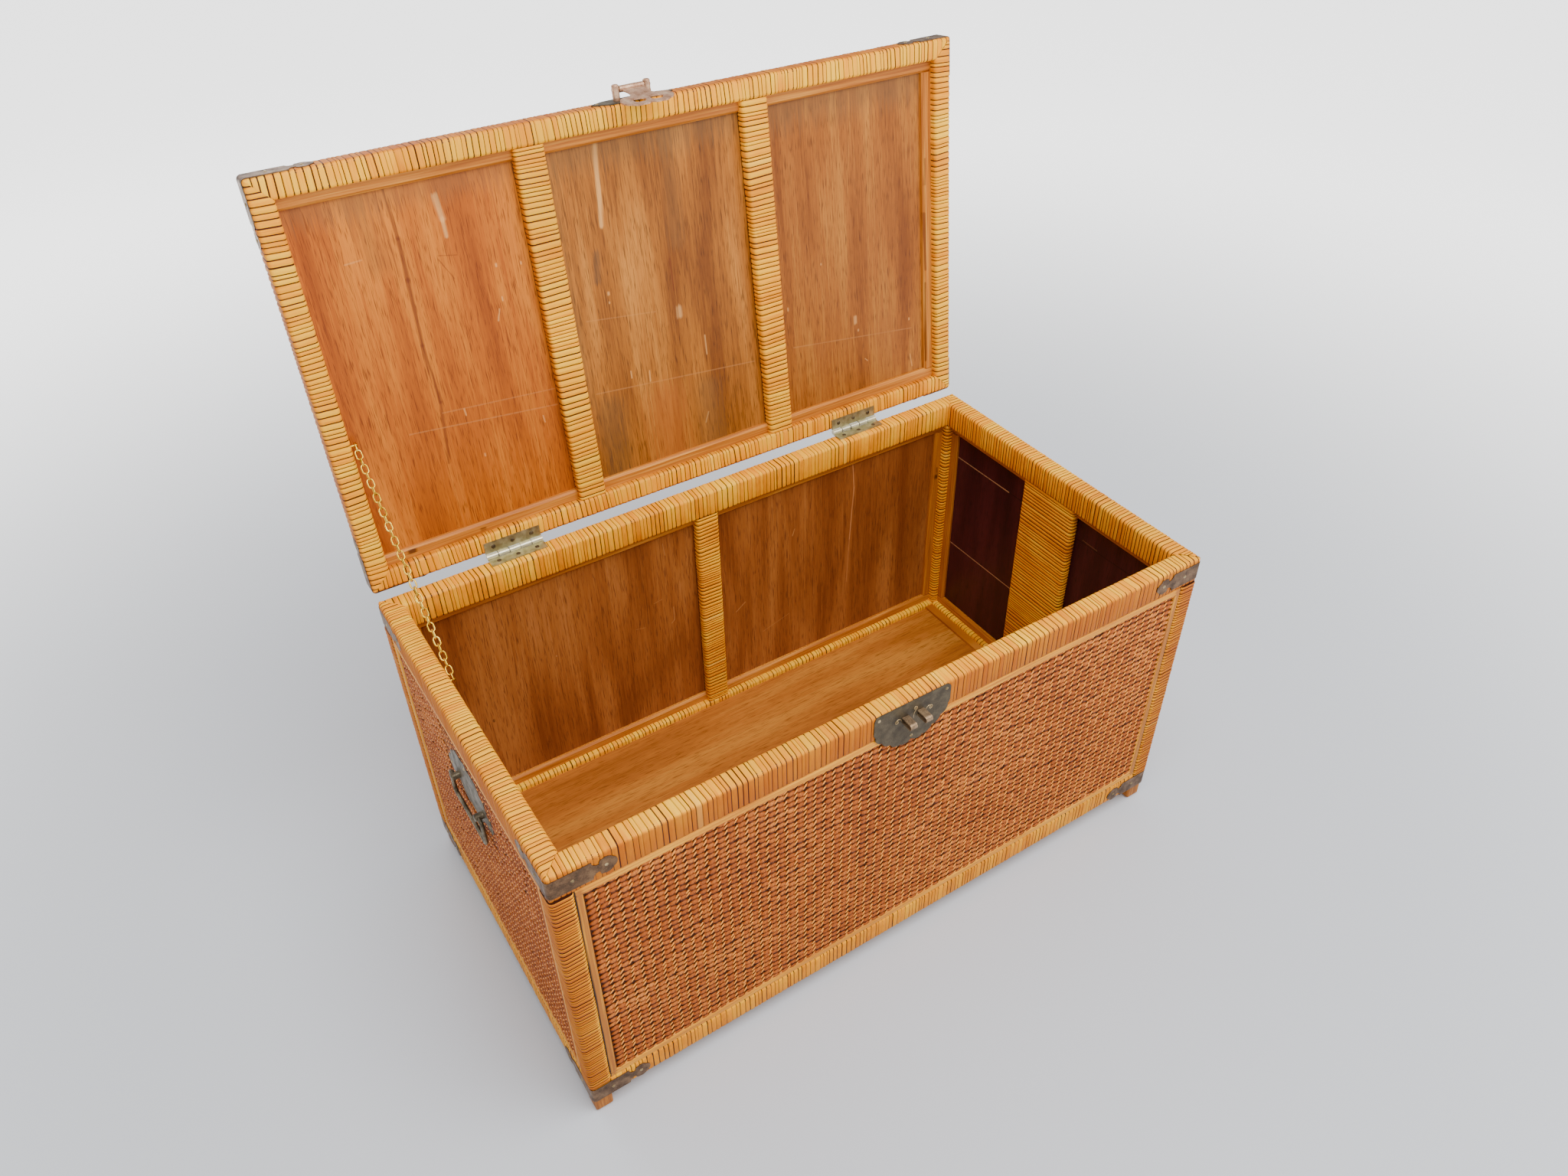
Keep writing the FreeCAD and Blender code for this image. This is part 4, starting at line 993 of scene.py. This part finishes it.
class TRUNK_OT_finish_timber(bpy.types.Operator):
    """Paint shade on the frame under the cane, and varnish its feet, the boards, the beading and
    the mouldings
    """

    bl_idname = "trunk.finish_timber"
    bl_label = "Finish the timber"

    def execute(self, context):
        settings = context.scene.trunk
        rails = ("top_rail", "bottom_rail", "lid_rail")
        dress(
            shaded_core_timber(settings.tints, settings.sizes.foot_height),
            *[f"{rail}_{side}" for rail in rails for side in SIDES],
            *[f"post_{y}_{x}" for y in SIDES[:2] for x in SIDES[2:]],
            "stile_front", "stile_back", "side_stiles", "lid_stiles",
        )
        # Shades from dark to pale, then that of the pores
        lid_left = ("8C4002", "AC5608", "C87218", "5C2202")
        lid_middle = ("763E0A", "9E5C18", "BC782C", "482406")
        lid_right = ("783C04", "985412", "B27024", "4A2004")
        wall = ("7C3E14", "965422", "AC6A32", "5A2A12")
        dark = ("2E1014", "3E161B", "502024", "220B0E")
        floor = ("925018", "AC6420", "BE7A2C", "70390C")
        for seed, name, node, plane, shades, *extra in (
            (1, "lid_ply_left", "lid_panel_left", "XY", lid_left, True, LEFT_MARKS),
            (2, "lid_ply_middle", "lid_panel_middle", "XY", lid_middle, True, MIDDLE_MARKS),
            (3, "lid_ply_right", "lid_panel_right", "XY", lid_right, True, RIGHT_MARKS),
            (5, "back_ply", "lining_back", "XZ", wall, False, BACK_MARKS),
            (6, "front_ply", "lining_front", "XZ", wall),
            (7, "right_ply", "lining_right", "YZ", dark, False, JOINT_MARKS, 0.34),
            (8, "left_ply", "lining_left", "YZ", wall),
            (9, "floor_ply", "floor_panel", "YX", floor),
        ):
            dress(veneered_ply(name, plane, shades, seed, *extra), node)
        bead = ("BC6E0C", "D88A14", "EEA824")
        moulding = ("9A5210", "B86C1C", "CE8A34")
        # Widths in millimetres of the level strips at the low and the high end of each frame
        for name, node, shades, low_strip, high_strip, on_lid, *extra in (
            ("bead_wood", "beading", bead, 10, 10, False, BEAD_MARKS),
            ("lid_bead_wood", "lid_beading", bead, 10, 10, True),
            ("moulding_wood", "inner_moulding", moulding, 22, 14, False, MOULDING_MARKS),
            ("lid_moulding_wood", "lid_moulding", moulding, 14, 14, True, LID_MOULDING_MARKS, "XY"),
        ):
            low, high = shut_box(node) if on_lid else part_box(node)
            axis = 1 if on_lid else 2
            ends = (low[axis] + low_strip * MM, high[axis] - high_strip * MM)
            dress(strip_wood(name, shades, ends, on_lid, *extra), node)
        return {"FINISHED"}


class TRUNK_OT_finish_metal(bpy.types.Operator):
    """Give the straps, lock, handles, hinges and chain their metal finishes"""

    bl_idname = "trunk.finish_metal"
    bl_label = "Finish the metal"

    def execute(self, context):
        # Shades from dark to pale, least and most roughness, how metallic, and the nodes
        dull = (0.32, 0.55)
        for name, shades, rough, metal, *nodes in (
            ("strap_bronze", ("4A3626", "684C34", "866646"), dull, 0.8,
             "corner_straps", "lid_corner_straps"),
            ("nail_bronze", ("6E5C3E", "95805A", "BCA680"), (0.28, 0.45), 0.8,
             "box_nails", "lid_nails"),
            ("handle_bronze", ("4C4436", "675D4B", "857A64"), dull, 0.8,
             "handle_plates", "handle_posts", "bail_left", "bail_right"),
            ("lock_bronze", ("40362A", "4E4331", "5E523D"), (0.45, 0.6), 0.6,
             "lock_plate", "hasp_back_plate"),
            ("staple_bronze", ("6E5A44", "94795C", "BBA07C"), dull, 0.8, "lock_staples"),
            ("hasp_bronze", ("8C6242", "B2876A", "D2AE8C"), (0.36, 0.55), 0.7,
             "hasp", "hasp_pin", "hasp_posts"),
            ("screw_steel", ("3C3020", "5A4A34", "7E6E52"), dull, 0.8,
             "hinge_screws_box", "hinge_screws_lid"),
            ("chain_brass", ("A07414", "D2A42C", "F2D060"), (0.2, 0.36), 1.0,
             "chain_lower", "chain_upper", "chain_screw_box", "chain_screw_lid"),
        ):
            dress(patinated_bronze(name, shades, rough, metal), *nodes)
        dress(tarnished_steel(), "hinge_leaves_box", "hinge_leaves_lid", "hinge_pins")
        return {"FINISHED"}


# Lock


def lock_scroll(name, eye, start, turns, tail, wire):
    """One raised scroll: a wire that uncurls from its eye and runs off to the tail's end.
    Places are x and z on the face of the plate."""
    # Rings of vertices along the curl and along the tail
    curl, run = 16, 9
    begin()
    bpy.ops.mesh.primitive_cylinder_add(vertices=6, radius=wire, depth=1.0)
    piece = named(name)
    bpy.ops.object.mode_set(mode="EDIT")
    pick(piece, "EDGE", lambda e: abs(e.verts[1].co.z - e.verts[0].co.z) > 0.9)
    bpy.ops.mesh.subdivide(number_cuts=curl + run - 2)
    bpy.ops.object.mode_set(mode="OBJECT")
    places = places_of(piece)
    share = np.linspace(0, 1, curl)
    angle = math.radians(start) + turns * 2 * math.pi * share
    radius = (0.7 + 2.3 * share) * MM
    path = np.stack([eye[0] + radius * np.cos(angle), eye[1] + radius * np.sin(angle)], 1)
    # The tail leaves the curl along its tangent and bends to its end
    leave = path[-1] + (path[-1] - path[-2]) * 4
    rest = np.linspace(0, 1, run + 1)[1:, None]
    bend = (1 - rest) ** 2 * path[-1] + 2 * rest * (1 - rest) * leave + rest**2 * np.array(tail)
    path = np.concatenate([path, bend])
    slope = np.gradient(path, axis=0)
    slope /= np.linalg.norm(slope, axis=1)[:, None]
    ring = np.rint((places[:, 2] + 0.5) * (curl + run - 1)).astype(int)
    side = places[:, 0]
    thin = np.interp(ring, (0, 3, 18, 24), (0.6, 1.0, 1.0, 0.35))
    spots = path[ring] + np.stack([-slope[ring, 1], slope[ring, 0]], 1) * (side * thin)[:, None]
    move_to(piece, np.stack([spots[:, 0], places[:, 1] * thin, spots[:, 1]], 1))
    bpy.ops.object.mode_set(mode="EDIT")
    bpy.ops.mesh.select_all(action="SELECT")
    bpy.ops.mesh.normals_make_consistent(inside=False)
    bpy.ops.object.mode_set(mode="OBJECT")
    return piece


class TRUNK_OT_scroll_lock(bpy.types.Operator):
    """Raise three scrolls beside the staples on the lock plate"""

    bl_idname = "trunk.scroll_lock"
    bl_label = "Scroll the lock plate"

    def execute(self, context):
        sizes = context.scene.trunk.sizes
        # The raised scrolls are paler and glossier than the plate
        finish = patinated_bronze("scroll_bronze", ("86704E", "B0966C", "D8C098"), (0.26, 0.4))
        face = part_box("lock_plate")[0].y
        low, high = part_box("lock_staples")
        middle = (low + high) / 2
        # Eye, start, turns and tail end of each scroll, from the middle of the staples
        for name, eye, start, turns, tail in (
            ("lock_scroll_left", (-22, 0.5), 200, -1.3, (-14.5, -5)),
            ("lock_scroll_middle", (3, 9.3), 60, -1.35, (2, -6)),
            ("lock_scroll_right", (25, -0.5), -20, 1.3, (17, -4)),
        ):
            eye = (middle.x + eye[0] * MM, middle.z + eye[1] * MM)
            tail = (middle.x + tail[0] * MM, middle.z + tail[1] * MM)
            scroll = lock_scroll(name, eye, start, turns, tail, sizes.scroll_wire)
            scroll.data.transform(Matrix.Translation((0, face, 0)))
            hand_over(scroll, "box", finish)
        return {"FINISHED"}


class TRUNK_OT_set_stage(bpy.types.Operator):
    """Set the floor, the lights and the camera"""

    bl_idname = "trunk.set_stage"
    bl_label = "Set the stage"

    def execute(self, context):
        begin()
        bpy.ops.mesh.primitive_circle_add(vertices=64, radius=9.0, fill_type="NGON")
        floor = named("floor")
        floor.data.materials.append(studio_floor(context.scene.trunk.tints))
        for name, place, aim, size, power in (
            ("key", (0.1, -1.2, 2.9), (0.0, 0.0, 0.35), 2.2, 105.0),
            ("fill", (2.2, -1.6, 1.9), (0.0, 0.0, 0.4), 2.0, 24.0),
            ("back", (-0.4, 2.4, 2.2), (0.0, 0.2, 0.5), 2.0, 34.0),
        ):
            bpy.ops.object.light_add(type="AREA", location=place)
            light = context.active_object
            light.name = light.data.name = name
            light.data.size = size
            light.data.energy = power
            beam = Vector(aim) - Vector(place)
            light.rotation_euler = beam.to_track_quat("-Z", "Y").to_euler()
        world = bpy.data.worlds.new("studio")
        world.use_nodes = True
        backdrop = world.node_tree.nodes["Background"].inputs
        backdrop["Color"].default_value = colour("F4F5F7")
        backdrop["Strength"].default_value = 0.85
        context.scene.world = world
        # Camera fitted to the photograph: a 27.2 mm lens on a 36 mm wide frame
        forward = Vector((0.41449, 0.65383, -0.63301)).normalized()
        right = forward.cross(Vector((0, 0, 1))).normalized()
        up = right.cross(forward)
        roll = -0.015
        right, up = (
            math.cos(roll) * right + math.sin(roll) * up,
            -math.sin(roll) * right + math.cos(roll) * up,
        )
        bpy.ops.object.camera_add()
        camera = context.active_object
        camera.name = "camera"
        camera.data.lens = 27.18
        camera.data.sensor_width = 36.0
        turn = Matrix((right, up, -forward)).transposed().to_4x4()
        camera.matrix_world = Matrix.Translation((-0.6268, -0.99595, 1.3704)) @ turn
        context.scene.camera = camera
        return {"FINISHED"}


STEPS = (
    TRUNK_OT_set_stage,
    TRUNK_OT_finish_timber,
    TRUNK_OT_finish_metal,
    TRUNK_OT_scroll_lock,
    TRUNK_OT_wrap_frame,
    TRUNK_OT_weave_panels,
)


class TRUNK_PT_sidebar(bpy.types.Panel):
    """Steps and settings of the trunk"""

    bl_idname = "TRUNK_PT_sidebar"
    bl_label = "Trunk"
    bl_space_type = "VIEW_3D"
    bl_region_type = "UI"
    bl_category = "Trunk"

    def draw(self, context):
        for step in STEPS:
            self.layout.operator(step.bl_idname)
        for group in (context.scene.trunk.sizes, context.scene.trunk.tints):
            for name in group.__annotations__:
                self.layout.prop(group, name)


CLASSES = (TrunkSizes, TrunkTints, TrunkSettings, *STEPS, TRUNK_PT_sidebar)


def register():
    for item in CLASSES:
        bpy.utils.register_class(item)
    bpy.types.Scene.trunk = bpy.props.PointerProperty(type=TrunkSettings)


def unregister():
    del bpy.types.Scene.trunk
    for item in reversed(CLASSES):
        bpy.utils.unregister_class(item)


def main():
    register()
    bpy.ops.trunk.set_stage()
    bpy.ops.trunk.finish_timber()
    bpy.ops.trunk.finish_metal()
    bpy.ops.trunk.scroll_lock()
    bpy.ops.trunk.wrap_frame()
    bpy.ops.trunk.weave_panels()


if __name__ == "__main__":
    main()
